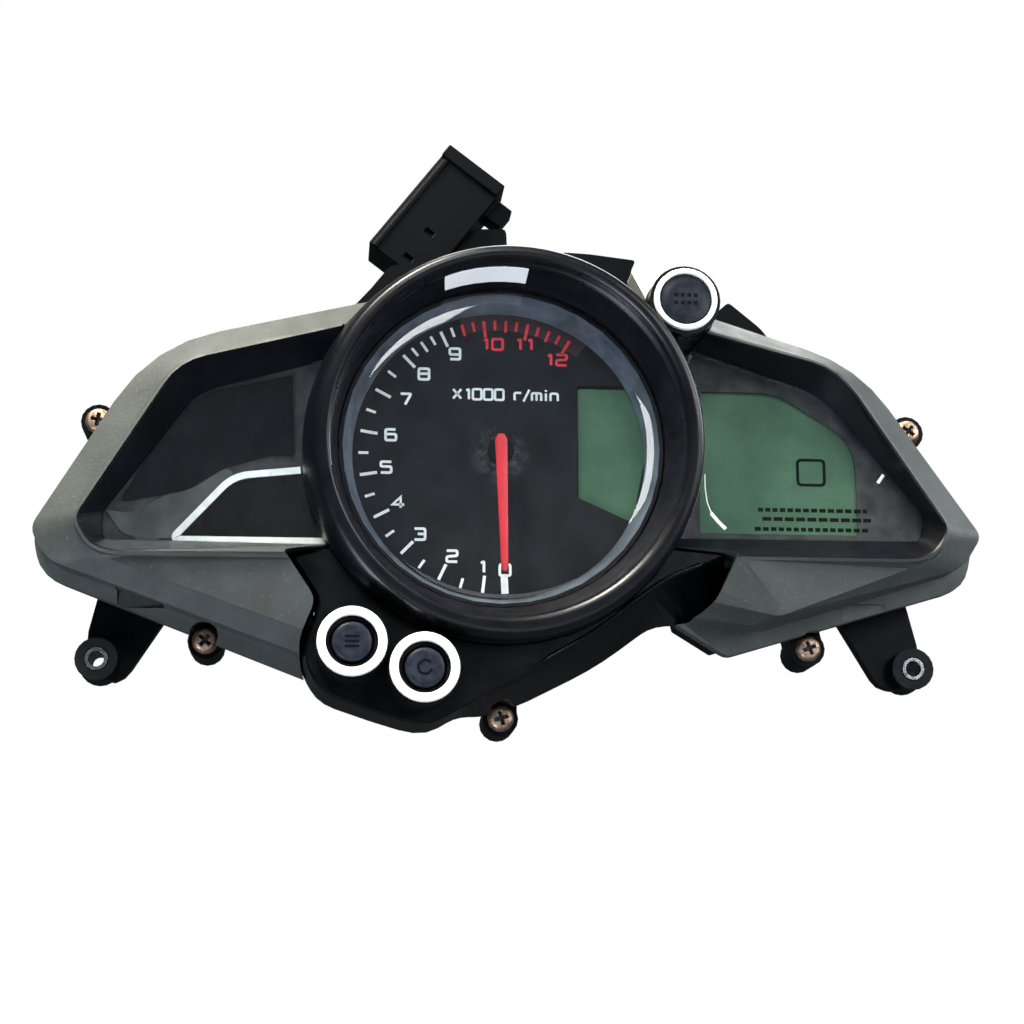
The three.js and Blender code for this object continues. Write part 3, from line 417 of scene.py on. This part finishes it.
def copy_of(name, look):
    """A new piece that starts as a copy of a CAD node's mesh and replaces the node."""
    data = nodes[name].data.copy()
    data.name = name + "_shape"
    made = bpy.data.objects.new(name + "_shape", data)
    bpy.context.scene.collection.objects.link(made)
    data.materials.clear()
    data.materials.append(LOOKS[look])
    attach(made, BODY)
    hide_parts(name)
    return made


SLOPE_DEPTH = -38.5         # the slope round a window lies in front of this depth
SLOPE_FACING = 0.25         # least turn of a slope face towards the middle of its window


def wing(name, window_middle):
    """A wing cover whose slope round the window is darker and smoother than its outside."""
    made = copy_of(name, "cover_grey")
    made.data.materials.append(LOOKS["cover_inner"])
    helper = bmesh.new()
    helper.from_mesh(made.data)
    bmesh.ops.remove_doubles(helper, verts=helper.verts, dist=WELD_GAP * MM)
    bmesh.ops.dissolve_limit(helper, angle_limit=FLAT_ANGLE, verts=helper.verts, edges=helper.edges)
    for face in helper.faces:
        centre = face.calc_center_median()
        inward = Vector((window_middle[0] * MM, 0, window_middle[1] * MM)) - centre
        inward.y = 0
        if face.normal.dot(inward.normalized()) > SLOPE_FACING and centre.y < SLOPE_DEPTH * MM:
            face.material_index = 1
    helper.to_mesh(made.data)
    helper.free()
    smooth(made.data)
    soften(made, EDGE_WIDTH[name], 26)


wing("left_wing_cover", (-82, -4))
wing("right_wing_cover", (88, 2))

# ---- bezel ring ------------------------------------------------------------------------------------
RING_PROFILE = [
    (54.9, -40.3, 0), (54.8, -47, 3), (54.2, -54.4, 4), (52.8, -58.8, 2.4), (50.4, -59.3, 1.6),
    (49, -58.8, 0.8), (48.5, -57.5, 0.5), (47.8, -57.2, 0.5), (46, -50.8, 2), (RING_BORE, -49.6, 0.5),
    (RING_BORE, -38.3, 0), (47.2, -38.3, 0), (47.4, -48.6, 0), (49.8, -56.6, 0), (51, -57, 0),
    (52.2, -54.4, 0), (52.6, -40.3, 0),
]
MATT_RADIUS = 48.6          # the inner slope of the ring is matt inside this radius
MATT_DEPTH = -58
ring_points, ring_faces = turned(rounded(RING_PROFILE, 4), segments=180)
ring = piece("bezel_ring_shape", lean(ring_points), ring_faces, "ring_black", replaces=["bezel_ring"],
             sharp=40)
ring.data.materials.append(LOOKS["panel_black"])
for face in ring.data.polygons:
    x, y, z = face.center / MM
    if math.hypot(x - CREST_SHIFT / 2, z) < MATT_RADIUS and y > MATT_DEPTH:
        face.material_index = 1

# ---- lenses and reflector --------------------------------------------------------------------------
LENS_PROFILE = [(0, -48.4, 0), (30, -48, 0), (44.8, -47.7, 0), (44.86, -48.1, 0.1), (41.6, -49.95, 7),
                (30, -50.15, 0), (15, -50.25, 0), (0, -50.3, 0)]
REFLECTOR_PROFILE = [(41, -37.3, 0), (44.6, -37.3, 0), (44.8, -46.8, 0), (43.9, -46.8, 0.6)]
piece("dial_lens_shape", *turned(rounded(LENS_PROFILE, 8, False), segments=180, closed=False),
      "clear_lens", replaces=["dial_lens"], sharp=60)
piece("dial_reflector_shape", *turned(rounded(REFLECTOR_PROFILE, 4), segments=144), "reflector_grey",
      replaces=["dial_reflector"])


# ---- dial print ------------------------------------------------------------------------------------
PRINT_BACK = -37.0
PRINT_FRONT = -37.04
SHARPEST_MITRE = 0.5        # keeps the outer corners of a sharp bend short


def stroke(path, width, closed=False, back=PRINT_BACK, front=PRINT_FRONT):
    """A line of even width along a path, as points and faces of a thin slab between two depths."""
    count = len(path)
    left, right = [], []
    for index, (x, z) in enumerate(path):
        before = path[index - 1] if closed or index else None
        after = path[(index + 1) % count] if closed or index < count - 1 else None
        normals = []
        for a, b in ((before, (x, z)), ((x, z), after)):
            if a and b:
                length = math.hypot(b[0] - a[0], b[1] - a[1]) or 1
                normals.append(((a[1] - b[1]) / length, (b[0] - a[0]) / length))
        nx = sum(normal[0] for normal in normals)
        nz = sum(normal[1] for normal in normals)
        length = math.hypot(nx, nz) or 1
        nx, nz = nx / length, nz / length
        reach = width / 2 / max(nx * normals[0][0] + nz * normals[0][1], SHARPEST_MITRE)
        left.append((x + nx * reach, z + nz * reach))
        right.append((x - nx * reach, z - nz * reach))
    points = []
    for depth in (back, front):
        points += [(x, depth, z) for x, z in left] + [(x, depth, z) for x, z in right]
    faces = []
    span = count if closed else count - 1
    for index in range(span):
        after = (index + 1) % count
        a, b, c, d = index, after, count + after, count + index
        e, f, g, h = (corner + 2 * count for corner in (a, b, c, d))
        faces += [[a, b, c, d], [h, g, f, e], [a, e, f, b], [c, g, h, d]]
    if not closed:
        for a, b in ((0, count), (count - 1, 2 * count - 1)):
            faces.append([a, b, b + 2 * count, a + 2 * count])
    return points, faces


# Strokes of each sign in a unit box: a path, and whether it closes
SIGNS = {
    "0": [([(0, 0), (1, 0), (1, 1), (0, 1)], True)],
    "1": [([(0.25, 0.82), (0.55, 1), (0.55, 0)], False)],
    "2": [([(0, 1), (1, 1), (1, 0.54), (0, 0.46), (0, 0), (1, 0)], False)],
    "3": [([(0, 1), (1, 1), (1, 0), (0, 0)], False), ([(0.3, 0.52), (0.9, 0.52)], False)],
    "4": [([(0.76, 0), (0.76, 1), (0, 0.3), (1.1, 0.3)], False)],
    "5": [([(1, 1), (0, 1), (0, 0.56), (1, 0.56), (1, 0), (0, 0)], False)],
    "6": [([(0.95, 1), (0, 1), (0, 0), (1, 0), (1, 0.56), (0.1, 0.56)], False)],
    "7": [([(0, 1), (1, 1), (0.45, 0)], False)],
    "8": [([(0, 0), (1, 0), (1, 1), (0, 1)], True), ([(0.1, 0.53), (0.9, 0.53)], False)],
    "9": [([(0.05, 0), (1, 0), (1, 1), (0, 1), (0, 0.44), (0.9, 0.44)], False)],
    "x": [([(0, 0.95), (0.95, 0.05)], False), ([(0, 0.05), (0.95, 0.95)], False)],
    "r": [([(0, 0), (0, 0.72), (0.8, 0.72)], False)],
    "/": [([(0, -0.1), (0.7, 1.05)], False)],
    "m": [([(0, 0), (0, 0.72), (1.1, 0.72), (1.1, 0)], False), ([(0.55, 0.66), (0.55, 0)], False)],
    "i": [([(0.25, 0), (0.25, 0.72)], False), ([(0.25, 0.9), (0.25, 1.05)], False)],
    "n": [([(0, 0), (0, 0.72), (0.85, 0.72), (0.85, 0)], False)],
}
SIGN_WIDTH = {"1": 0.72, "i": 0.5, "/": 0.7, "m": 1.1, " ": 0.7, "r": 0.75}
SHARP_SIGNS = "x/i4"
SIGN_ROUNDING = 0.16        # of the height


def lettering(text, at, height, width, weight, space):
    """Signs in a row, centred on a place; width is that of one wide sign."""
    advances = [SIGN_WIDTH.get(sign, 1) * width for sign in text]
    gap = space * width
    total = sum(advances) + gap * (len(text) - 1)
    x = at[0] - total / 2
    parts = []
    for sign, advance in zip(text, advances):
        for path, closed in SIGNS.get(sign, []):
            corners = [(x + px * width, at[1] + (pz - 0.5) * height, SIGN_ROUNDING * height)
                       for px, pz in path]
            line = [corner[:2] for corner in corners]
            if sign not in SHARP_SIGNS:
                line = rounded(corners, 3, closed)
            parts.append(stroke(line, weight, closed))
        x += advance + gap
    return parts


SCALE_START = -2.5          # degrees clockwise from straight down, at 0
SCALE_ONE = 6.6             # at 1
SCALE_STEP = 18.55          # for each further 1000
TICK_OUTER = 39.3
RED_FROM = 9.5
RED_END = 12.35
LAST = 12                   # highest reading


def dial_angle(value):
    """Degrees clockwise from straight down for a reading in thousands."""
    if value < 1:
        return SCALE_START + (SCALE_ONE - SCALE_START) * value
    return SCALE_ONE + SCALE_STEP * (value - 1)


def on_dial(value, radius, turn=0.0):
    """Place on the dial at a reading, turned on by some more degrees."""
    angle = math.radians(dial_angle(value) + turn)
    return (-radius * math.sin(angle), -radius * math.cos(angle))


# Ticks as (reading, length, width): whole thousands, halves up to 7.5, then quarters
white_parts, red_parts = [], []
ticks = [(0, 4.8, 2.0)] + [(value, 4.8, 0.85) for value in range(1, LAST + 1)]
ticks += [(value + 0.5, 2.8, 0.75) for value in range(1, 8)]
ticks += [(8 + quarter / 4, 3.4 if quarter % 2 == 0 else 2.8, 0.75)
          for quarter in range(1, 16) if quarter % 4]
for value, length, width in ticks:
    tick = stroke([on_dial(value, TICK_OUTER), on_dial(value, TICK_OUTER - length)], width)
    (red_parts if value >= RED_FROM else white_parts).append(tick)
NUMERAL_RADIUS = [32.6, 32.1, 31.7, 31.7, 31.4, 31.8, 30.8, 30.6, 31.4, 31.8, 32.4, 33.3, 32.5]
NUMERAL_TURN = [-0.5, 1.8, -0.9, 0.2, 1.4, 2, 0.6, 3, 1, 1.8, 2.9, 0.2, -0.8]
for value in range(LAST + 1):
    at = on_dial(value, NUMERAL_RADIUS[value], NUMERAL_TURN[value])
    signs = lettering(str(value), at, height=3.1, width=2.9, weight=0.74, space=0.36)
    (red_parts if value > RED_FROM else white_parts).extend(signs)
white_parts += lettering("x1000 r/min", (2, 17.6), height=3.0, width=2.4, weight=0.66, space=0.3)
piece("dial_print", *merged(white_parts), "print_white")
piece("dial_print_red", *merged(red_parts), "print_red")

HAZE_PROFILE = [(36.4, PRINT_BACK), (36.4, -37.02), (40.9, -37.02), (40.9, PRINT_BACK)]
haze_sweep = math.radians(dial_angle(RED_END) - dial_angle(RED_FROM))
haze_start = math.radians(-90 - dial_angle(RED_END))
piece("dial_red_zone", *turned(HAZE_PROFILE, segments=40, start=haze_start, sweep=haze_sweep),
      "print_haze")

# ---- accent line, insert and trim on the left window floor ------------------------------------------
WINDOW_FLOOR = -36.95
ACCENT_DEPTH, INSERT_DEPTH, TRIM_DEPTH = 0.95, 0.3, 0.45
ACCENT_LINE = [(-47.4, -25.5, 0), (-90, -25.6, 2.6), (-73.6, -7.5, 4.5), (-55.2, -5.5, 0)]
INSERT_OUTLINE = [(-49.4, -25, 0), (-89, -25, 1.5), (-73.4, -8.2, 4), (-54.6, -6.2, 0), (-52.6, -15, 8)]
TRIM_OUTLINE = [(-108.2, -17.6, 1), (-101.1, -18.4, 2), (-93.4, -14, 3), (-75.4, -4.8, 2),
                (-73.4, -7.3, 1), (-90.4, -25.4, 1), (-93.6, -25.2, 0.6), (-94.5, -27.6, 0.5),
                (-99.6, -27.4, 0.5), (-99.7, -25.2, 0.5), (-103.6, -24, 1.5)]
accent = stroke(rounded(ACCENT_LINE, 8, False), 1.9, back=WINDOW_FLOOR, front=WINDOW_FLOOR - ACCENT_DEPTH)
insert = slab(rounded(INSERT_OUTLINE, 6), WINDOW_FLOOR, WINDOW_FLOOR - INSERT_DEPTH)
trim = slab(rounded(TRIM_OUTLINE, 5), WINDOW_FLOOR, WINDOW_FLOOR - TRIM_DEPTH)
piece("accent_trim_shape", *accent, "print_white", replaces=["accent_trim"], bevel=0.15)
piece("left_insert_shape", *insert, "gloss_black", replaces=["left_insert_panel"])
piece("left_window_trim", *trim, "border_grey", bevel=0.1)

# ---- needle ----------------------------------------------------------------------------------------
NEEDLE_TURN = math.radians(1.7)     # at rest, from straight down
NEEDLE_TAIL, NEEDLE_LENGTH = 4.1, 38.5
TAIL_HALF, TIP_HALF = 1.75, 0.95    # half widths
TAIL_ROUNDING, TIP_ROUNDING = 0.55, 0.6
# Cross-section as (share of the half width, depth)
NEEDLE_SECTION = [(-1, -44.8), (-1, -45.7), (-0.45, -46.15), (0.45, -46.15), (1, -45.7), (1, -44.8)]


def skinned(rows, count):
    """Faces of a closed tube of rows with count points each, and of its two ends."""
    faces = []
    for row in range(rows - 1):
        for side in range(count):
            after = (side + 1) % count
            faces.append([row * count + side, row * count + after,
                          (row + 1) * count + after, (row + 1) * count + side])
    return faces + [list(range(count)), [(rows - 1) * count + side for side in range(count)][::-1]]


def needle_shape(steps=24):
    """Tapered pointer with a crowned front."""
    along, across = math.cos(NEEDLE_TURN), math.sin(NEEDLE_TURN)
    points = []
    for step in range(steps + 1):
        z = NEEDLE_TAIL - NEEDLE_LENGTH * step / steps
        half = TAIL_HALF + (TIP_HALF - TAIL_HALF) * step / steps
        half *= {0: TAIL_ROUNDING, steps: TIP_ROUNDING}.get(step, 1)
        for share, y in NEEDLE_SECTION:
            x = half * share
            points.append((x * along - z * across, y, x * across + z * along))
    return points, skinned(steps + 1, len(NEEDLE_SECTION))


piece("needle_pointer_shape", *needle_shape(), "needle_red", body="needle", replaces=["needle_pointer"],
      bevel=0.12)

# ---- screws, buttons and lamp -----------------------------------------------------------------------
def middle(node):
    """Centre of a CAD node on the front, as (x, z) in millimetres."""
    low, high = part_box(node)
    return ((low.x + high.x) / 2 / MM, (low.z + high.z) / 2 / MM)


def ease(part):
    """Smooth step from 0 to 1."""
    part = max(0.0, min(1.0, part))
    return part * part * (3 - 2 * part)


SCREW_SEGMENTS = 72
# Radii of the rows of points over the head: fine in the recess, wider towards the rim
SCREW_RADII = [0.13 * step for step in range(1, 20)] + [2.7, 3.0, 3.3, 3.5, 3.62, 3.7]
CROWN_DEPTH, CROWN_RADIUS = -25, 2.7
RECESS_DEPTH, RECESS_LENGTH, RECESS_HALF = 1.1, 2.0, 0.56
# Underside of the head, shank and tip as (radius, depth)
SCREW_SHANK = [(3.7, -22.45), (1.25, -22.45), (1.25, -12.6), (0.6, -12.0)]
# Painted shade: the cross recess takes a dark matt colour inside this radius and between these depths, in
# place of the shade inside it
SHADE_RADIUS, SHADE_DEPTHS = 2.05, (-24.5, -23)


def screw_head(radius, angle):
    """Depth of the head at a place: a low crown, steeper at the rim, with the cross recess cut in."""
    crown = CROWN_DEPTH + 0.35 * (radius / CROWN_RADIUS) ** 2
    if radius > CROWN_RADIUS:
        crown += 1.9 * (radius - CROWN_RADIUS) ** 2
    along, across = radius * math.cos(angle), radius * math.sin(angle)
    inside = 0.0
    for a, b in ((along, across), (across, along)):
        inside = max(inside, ease((RECESS_HALF - abs(a)) / 0.16) * ease((RECESS_LENGTH - abs(b)) / 0.2))
    return crown + inside * RECESS_DEPTH * (1 - 0.3 * radius / RECESS_LENGTH)


def screw(name, turn):
    """Pan-head screw with a cross recess."""
    at = middle(name)
    angles = [math.tau * index / SCREW_SEGMENTS for index in range(SCREW_SEGMENTS)]
    rows = [[(radius, screw_head(radius, angle)) for angle in angles] for radius in SCREW_RADII]
    rows += [[place] * SCREW_SEGMENTS for place in SCREW_SHANK]
    points = [(at[0], CROWN_DEPTH + RECESS_DEPTH, at[1])]
    for row in rows:
        points += [(at[0] + radius * math.cos(angle + turn), y, at[1] + radius * math.sin(angle + turn))
                   for angle, (radius, y) in zip(angles, row)]
    faces = [[0, 1 + index, 1 + (index + 1) % SCREW_SEGMENTS] for index in range(SCREW_SEGMENTS)]
    for row in range(len(rows) - 1):
        start = 1 + row * SCREW_SEGMENTS
        for index in range(SCREW_SEGMENTS):
            after = (index + 1) % SCREW_SEGMENTS
            faces.append([start + index, start + SCREW_SEGMENTS + index,
                          start + SCREW_SEGMENTS + after, start + after])
    faces.append([1 + (len(rows) - 1) * SCREW_SEGMENTS + index for index in range(SCREW_SEGMENTS)])
    made = piece(name + "_shape", points, faces, "screw_bronze", replaces=[name], sharp=50)
    # Painted shade: the faces in the cross recess get a dark colour in place of the shade that falls there
    made.data.materials.append(LOOKS["recess_dark"])
    for face in made.data.polygons:
        x, y, z = face.center / MM
        if math.hypot(x - at[0], z - at[1]) < SHADE_RADIUS and SHADE_DEPTHS[0] < y < SHADE_DEPTHS[1]:
            face.material_index = 1


for index, name in enumerate(sorted(node for node in nodes if node.startswith("cover_screw"))):
    screw(name, 0.3 + index * 0.55)

COLLAR = [(6.9, -59.3, 0), (9.3, -59.3, 0), (9.3, -60.35, 0.3), (9.0, -60.7, 0.3), (7.2, -60.75, 0.2),
          (6.9, -60.45, 0.2)]
LAMP_COLLAR = [(7.3, -59.3, 0), (8.8, -59.3, 0), (8.8, -60.35, 0.3), (8.5, -60.7, 0.3),
               (7.6, -60.75, 0.2), (7.3, -60.45, 0.2)]
CAP = [(0, -60.22), (2.4, -60.25), (3.8, -60.36), (4.4, -60.38), (4.9, -60.2), (5.2, -59.8),
       (5.35, -59.2), (5.35, -56), (2.2, -56), (2.2, -25.4), (0, -25.4)]
MARKS = {
    "mode": [[(-1.9, z), (1.9, z)] for z in (1.3, 0, -1.3)],
    "set": [[(1.5, 1.3), (0, 2), (-1.9, 0.6), (-1.5, -1.4), (0.6, -2), (1.9, -0.6)]],
}
PRINT_THICKNESS = PRINT_BACK - PRINT_FRONT


def flat_marks(name, at, paths, width, depth, body=BODY):
    """Thin dark strokes on a flat face at a depth."""
    parts = []
    for path in paths:
        line = rounded([(at[0] + x, at[1] + z, 0.7) for x, z in path], 4, False)
        parts.append(stroke(line, width, back=depth, front=depth - PRINT_THICKNESS))
    piece(name, *merged(parts), "cap_mark", body=body)


for key in ("mode", "set"):
    at = middle(f"{key}_button")
    piece(f"{key}_button_ring_shape", *turned(rounded(COLLAR, 4), at), "white_plastic",
          replaces=[f"{key}_button_ring"])
    piece(f"{key}_button_shape", *turned(CAP, at, 72, closed=False), "cap_grey", body=f"{key}_key",
          replaces=[f"{key}_button"], sharp=50)
    flat_marks(f"{key}_button_mark", at, MARKS[key], 0.62, -60.27, f"{key}_key")

lamp_at = middle("shift_lamp_lens")
piece("shift_lamp_ring_shape", *turned(rounded(LAMP_COLLAR, 4), lamp_at), "white_plastic",
      replaces=["shift_lamp_ring"])
LAMP_GLASS = [(0, -60.36), (4.5, -60.34), (5.8, -60.24), (6.2, -60.05), (6.9, -60.1), (7.15, -59.9),
              (7.0, -57.6), (0, -57.6)]
piece("shift_lamp_lens_shape", *turned(LAMP_GLASS, lamp_at, 80, closed=False), "lamp_smoke",
      replaces=["shift_lamp_lens"], sharp=50)
BARS = [[(x - 0.55, z), (x + 0.55, z)] for z in (1.1, -1.1) for x in (-2.7, -0.9, 0.9, 2.7)]
flat_marks("shift_lamp_mark", lamp_at, BARS, 1.0, -60.33)

# ---- print on the right window: a plain rounded frame, three rows of dashes and painted glints -----
WINDOW_FRONT = -40.52
# Painted highlights: white strokes along the window film's edges stand in for light glinting off them, as
# (path, width)
GLINTS = [([(57.6, -5), (57.6, -9), (58.1, -13), (59.3, -16.3)], 0.3),
          ([(59.1, -16.1), (61, -18.4), (63.2, -20.6)], 1.0), ([(106.9, -6.6), (108.6, -4.2)], 0.9)]
FRAME_CORNERS = [(84.0, -7.6, 1.2), (91.6, -7.6, 1.2), (91.6, -0.4, 1.2), (84.0, -0.4, 1.2)]
DASH_ROWS = [(72.5, 103.5, -14.9), (73.6, 104.6, -17.5), (71.4, 103.6, -20.4)]     # left, right, height
DASH_GAP = 0.6


def on_window(path, width, closed=False):
    return stroke(path, width, closed, WINDOW_FRONT, WINDOW_FRONT - PRINT_THICKNESS)


def dashes(row, left, right, z):
    """A row of dashes of uneven length between two ends; row varies the lengths."""
    made = []
    while left < right:
        length = 1.4 + 1.2 * abs(math.sin(3.1 * len(made) + 1.7 * row))
        made.append(on_window([(left, z), (min(left + length, right), z)], 1.1))
        left += length + DASH_GAP
    return made


window_parts = [on_window(rounded(FRAME_CORNERS, 4, True), 0.85, True)]
for row, (left, right, z) in enumerate(DASH_ROWS):
    window_parts += dashes(row, left, right, z)
# The glints are painted highlights, drawn in the white print colour
glints = [on_window(path, width) for path, width in GLINTS]
piece("film_glints", *merged(glints), "print_white").visible_shadow = False
piece("window_print", *merged(window_parts), "print_dark").visible_shadow = False

# ---- raised lines along the chin ---------------------------------------------------------------------
# Cross-section as (share of the width, share of the height)
RIB_SECTION = [(-0.5, 0.25), (-0.36, -0.6), (0, -1), (0.36, -0.6), (0.5, 0.25)]
RUN_OUT = 3                 # points over which a rib grows from each end
RIB_START = 0.12


def rib(path, width, height, depth):
    """Low rounded rib along a path on a face at a depth, towards the front; it runs out at both ends."""
    rows = len(path)
    points = []
    for index, (x, z) in enumerate(path):
        a, b = path[max(index - 1, 0)], path[min(index + 1, rows - 1)]
        length = math.hypot(b[0] - a[0], b[1] - a[1])
        nx, nz = (a[1] - b[1]) / length, (b[0] - a[0]) / length
        grown = ease(min(index, rows - 1 - index) / RUN_OUT + RIB_START)
        for across, up in RIB_SECTION:
            points.append((x + nx * across * width * grown, depth + up * height * grown,
                           z + nz * across * width * grown))
    return points, skinned(rows, len(RIB_SECTION))


SWOOSH = [(6, -62.4, 0), (14, -57.6, 8), (26.5, -50.4, 8), (38.6, -40.6, 6), (46.6, -35.2, 5),
          (53, -32.8, 3), (58, -30.4, 0)]
piece("chin_ridge", *rib(rounded(SWOOSH, 7, False), 1.8, 1.0, -45.9), "gloss_black", sharp=80)

# ---- ribs, screw bosses and a plain plate on the back ------------------------------------------------
BACK_OUTLINE = [(-106, 4, 0), (-92, 17, 12), (-60, 23, 10), (-36, 36, 14), (-22, 52, 10), (-4, 57, 8),
                (14, 53, 10), (34, 38, 14), (64, 25, 10), (94, 14, 10), (108, 3, 10), (113, -22, 12),
                (98, -31, 8), (42, -32, 12), (20, -52, 10), (4, -58, 8), (-30, -58, 10), (-41, -46, 8),
                (-44, -32, 8), (-96, -31, 12), (-108, -22, 10), (-106, 4, 0)]
BACK_BOSSES = [(-92, 5), (-48, 20), (44, 22), (98, 2), (84, -26), (-36, -30), (6, -50), (2, 47)]
BACK_FACE = 0.05
# Straight ribs as (x, low z, high z) and as (z, low x, high x)
UPRIGHT_RIBS = [(-74, -30, 19), (-22, -54, 48), (30, -38, 38), (62, -30, 23), (90, -28, 14)]
LEVEL_RIBS = [(-8, -106, 110), (34, -26, 34)]


def straight_rib(first, last, steps):
    """Rib on the back between two places."""
    path = []
    for step in range(steps + 1):
        path.append([a + (b - a) * step / steps for a, b in zip(first, last)])
    return rib(path, 1.4, -0.9, BACK_FACE)


back_parts = [rib(rounded(BACK_OUTLINE, 5, False), 1.8, -1.2, BACK_FACE)]
back_parts += [straight_rib((x, low), (x, high), 12) for x, low, high in UPRIGHT_RIBS]
back_parts += [straight_rib((low, z), (high, z), 24) for z, low, high in LEVEL_RIBS]
BOSS = [(0, -0.2), (4.4, -0.2), (4.2, 1.5), (3.9, 1.7), (2.7, 1.7), (2.6, 0.5), (0, 0.5)]
SCREW_TOP = [(0, 0.3), (2.3, 0.3), (2.3, 1.2), (1.9, 1.45), (1.2, 1.5), (1.05, 0.9), (0, 0.8)]
back_parts += [turned(BOSS, at, 48, closed=False) for at in BACK_BOSSES]
piece("back_ribs", *merged(back_parts), "case_black", sharp=50)
back_screws = [turned(SCREW_TOP, at, 36, closed=False) for at in BACK_BOSSES]
piece("back_screws", *merged(back_screws), "screw_bronze", sharp=50)
PLATE = [(36, -30, 2), (58, -30, 2), (58, -12, 2), (36, -12, 2)]
piece("back_plate", *slab(rounded(PLATE, 5), -0.1, 0.25), "paper_white", bevel=0.05)
# The vent slots are flat dark slabs: painted shade standing in for the dark inside of the openings
VENT = [(-0.8, 0, 0.6), (0.8, 0, 0.6), (0.8, 14, 0.6), (-0.8, 14, 0.6)]
VENT_START, VENT_STEP = -14, 4.5
vents = []
for index in range(7):
    shift = VENT_START + VENT_STEP * index
    vents.append(slab(rounded([(x + shift, z, radius) for x, z, radius in VENT], 3), -0.1, 0.12))
piece("back_vents", *merged(vents), "recess_dark")

# ---- camera, lights, floor -------------------------------------------------------------------------
CAMERA_AT = (-47.24, -618.70, -140.22)
LOOK_ALONG = Vector((0.08525, 0.97443, 0.20791))
SENSOR_WIDTH = 36
FOCAL_LENGTH = 75.33


def placed(name, data, at, along):
    """A new object at a place in metres that looks along a direction."""
    made = bpy.data.objects.new(name, data)
    bpy.context.scene.collection.objects.link(made)
    made.location = at
    made.rotation_mode = "QUATERNION"
    made.rotation_quaternion = along.to_track_quat("-Z", "Y")
    return made


camera_data = bpy.data.cameras.new("camera")
camera_data.sensor_width = SENSOR_WIDTH
camera_data.lens = FOCAL_LENGTH
bpy.context.scene.camera = placed("camera", camera_data, [part * MM for part in CAMERA_AT], LOOK_ALONG)


def area_light(name, at, towards, size, power, color):
    """Rectangular light at a place in metres, turned towards another place."""
    data = bpy.data.lights.new(name, "AREA")
    data.shape = "RECTANGLE"
    data.size, data.size_y = size
    data.energy = power
    data.color = color
    placed(name, data, at, Vector(towards) - Vector(at))


area_light("key", (-0.44, -0.42, 0.95), (0, 0, 0), (0.42, 0.32), 46, (1, 0.94, 0.8))
area_light("side", (0.92, -0.4, 0.32), (0, 0, 0), (0.34, 0.5), 14, (0.92, 0.94, 1))
area_light("front", (0.02, -1.2, -0.55), (0, 0, 0), (1.0, 0.4), 2.5, (0.88, 0.94, 1))
area_light("low", (-0.6, -0.5, -0.68), (-0.06, 0, 0), (0.4, 0.4), 9, (0.82, 0.9, 1))
area_light("window_left", (-0.14, -0.93, 0.56), (0, 0, 0), (0.3, 0.28), 4.2, (0.95, 0.98, 1))
area_light("window_right", (0.52, -0.93, 0.2), (0, 0, 0), (0.28, 0.34), 4.6, (0.95, 0.98, 1))
area_light("rear", (0.2, 0.8, 1.1), (0, 0, 0), (0.9, 0.8), 20, (1, 1, 1))

# The studio looks white to the camera; other rays meet a dim light that grows towards the top
STUDIO_COLOR = (0.84, 0.91, 1, 1)
STUDIO_LOW, STUDIO_HIGH = 0.04, 0.22
world = bpy.data.worlds.new("studio")
world.use_nodes = True
tree = world.node_tree
tree.nodes.clear()
world_out = tree.nodes.new("ShaderNodeOutputWorld")
seen = tree.nodes.new("ShaderNodeBackground")
seen.inputs["Color"].default_value = (1, 1, 1, 1)
lit = tree.nodes.new("ShaderNodeBackground")
lit.inputs["Color"].default_value = STUDIO_COLOR
where = tree.nodes.new("ShaderNodeTexCoord")
axes = tree.nodes.new("ShaderNodeSeparateXYZ")
rise = tree.nodes.new("ShaderNodeMapRange")
rise.inputs["From Min"].default_value = -0.3
rise.inputs["To Min"].default_value = STUDIO_LOW
rise.inputs["To Max"].default_value = STUDIO_HIGH
ray_kind = tree.nodes.new("ShaderNodeLightPath")
both = tree.nodes.new("ShaderNodeMixShader")
tree.links.new(where.outputs["Generated"], axes.inputs[0])
tree.links.new(axes.outputs["Z"], rise.inputs["Value"])
tree.links.new(rise.outputs[0], lit.inputs["Strength"])
tree.links.new(ray_kind.outputs["Is Camera Ray"], both.inputs[0])
tree.links.new(lit.outputs[0], both.inputs[1])
tree.links.new(seen.outputs[0], both.inputs[2])
tree.links.new(both.outputs[0], world_out.inputs[0])
bpy.context.scene.world = world
bpy.context.scene.view_settings.view_transform = "Standard"

# The floor glows for the camera only, so that it is pale without lighting the part from below
FLOOR_HEIGHT = -0.9
FLOOR_HALF = 4
FLOOR_GLOW = 0.72
floor_data = bpy.data.meshes.new("floor")
floor_corners = [(x * FLOOR_HALF, y * FLOOR_HALF, FLOOR_HEIGHT)
                 for x, y in ((-1, -1), (1, -1), (1, 1), (-1, 1))]
floor_data.from_pydata(floor_corners, [], [[0, 1, 2, 3]])
floor = bpy.data.objects.new("floor", floor_data)
bpy.context.scene.collection.objects.link(floor)
pale = Nodes("pale_floor")
pale_shade = pale.mix(pale.spread(pale.noise(400), 0, 1), (0.9, 0.9, 0.9), (0.95, 0.95, 0.95))
camera_ray = pale.add("ShaderNodeLightPath").outputs["Is Camera Ray"]
matt_shade = pale.mix(camera_ray, (0.1, 0.1, 0.11), pale_shade)
matt = pale.add("ShaderNodeBsdfDiffuse", links={"Color": matt_shade}).outputs[0]
strength = pale.spread(camera_ray, 0, FLOOR_GLOW, 0, 1)
glow = pale.add("ShaderNodeEmission", links={"Color": pale_shade, "Strength": strength}).outputs[0]
matt_and_glow = pale.add("ShaderNodeAddShader", links={0: matt, 1: glow}).outputs[0]
floor_data.materials.append(pale.finish(matt_and_glow))
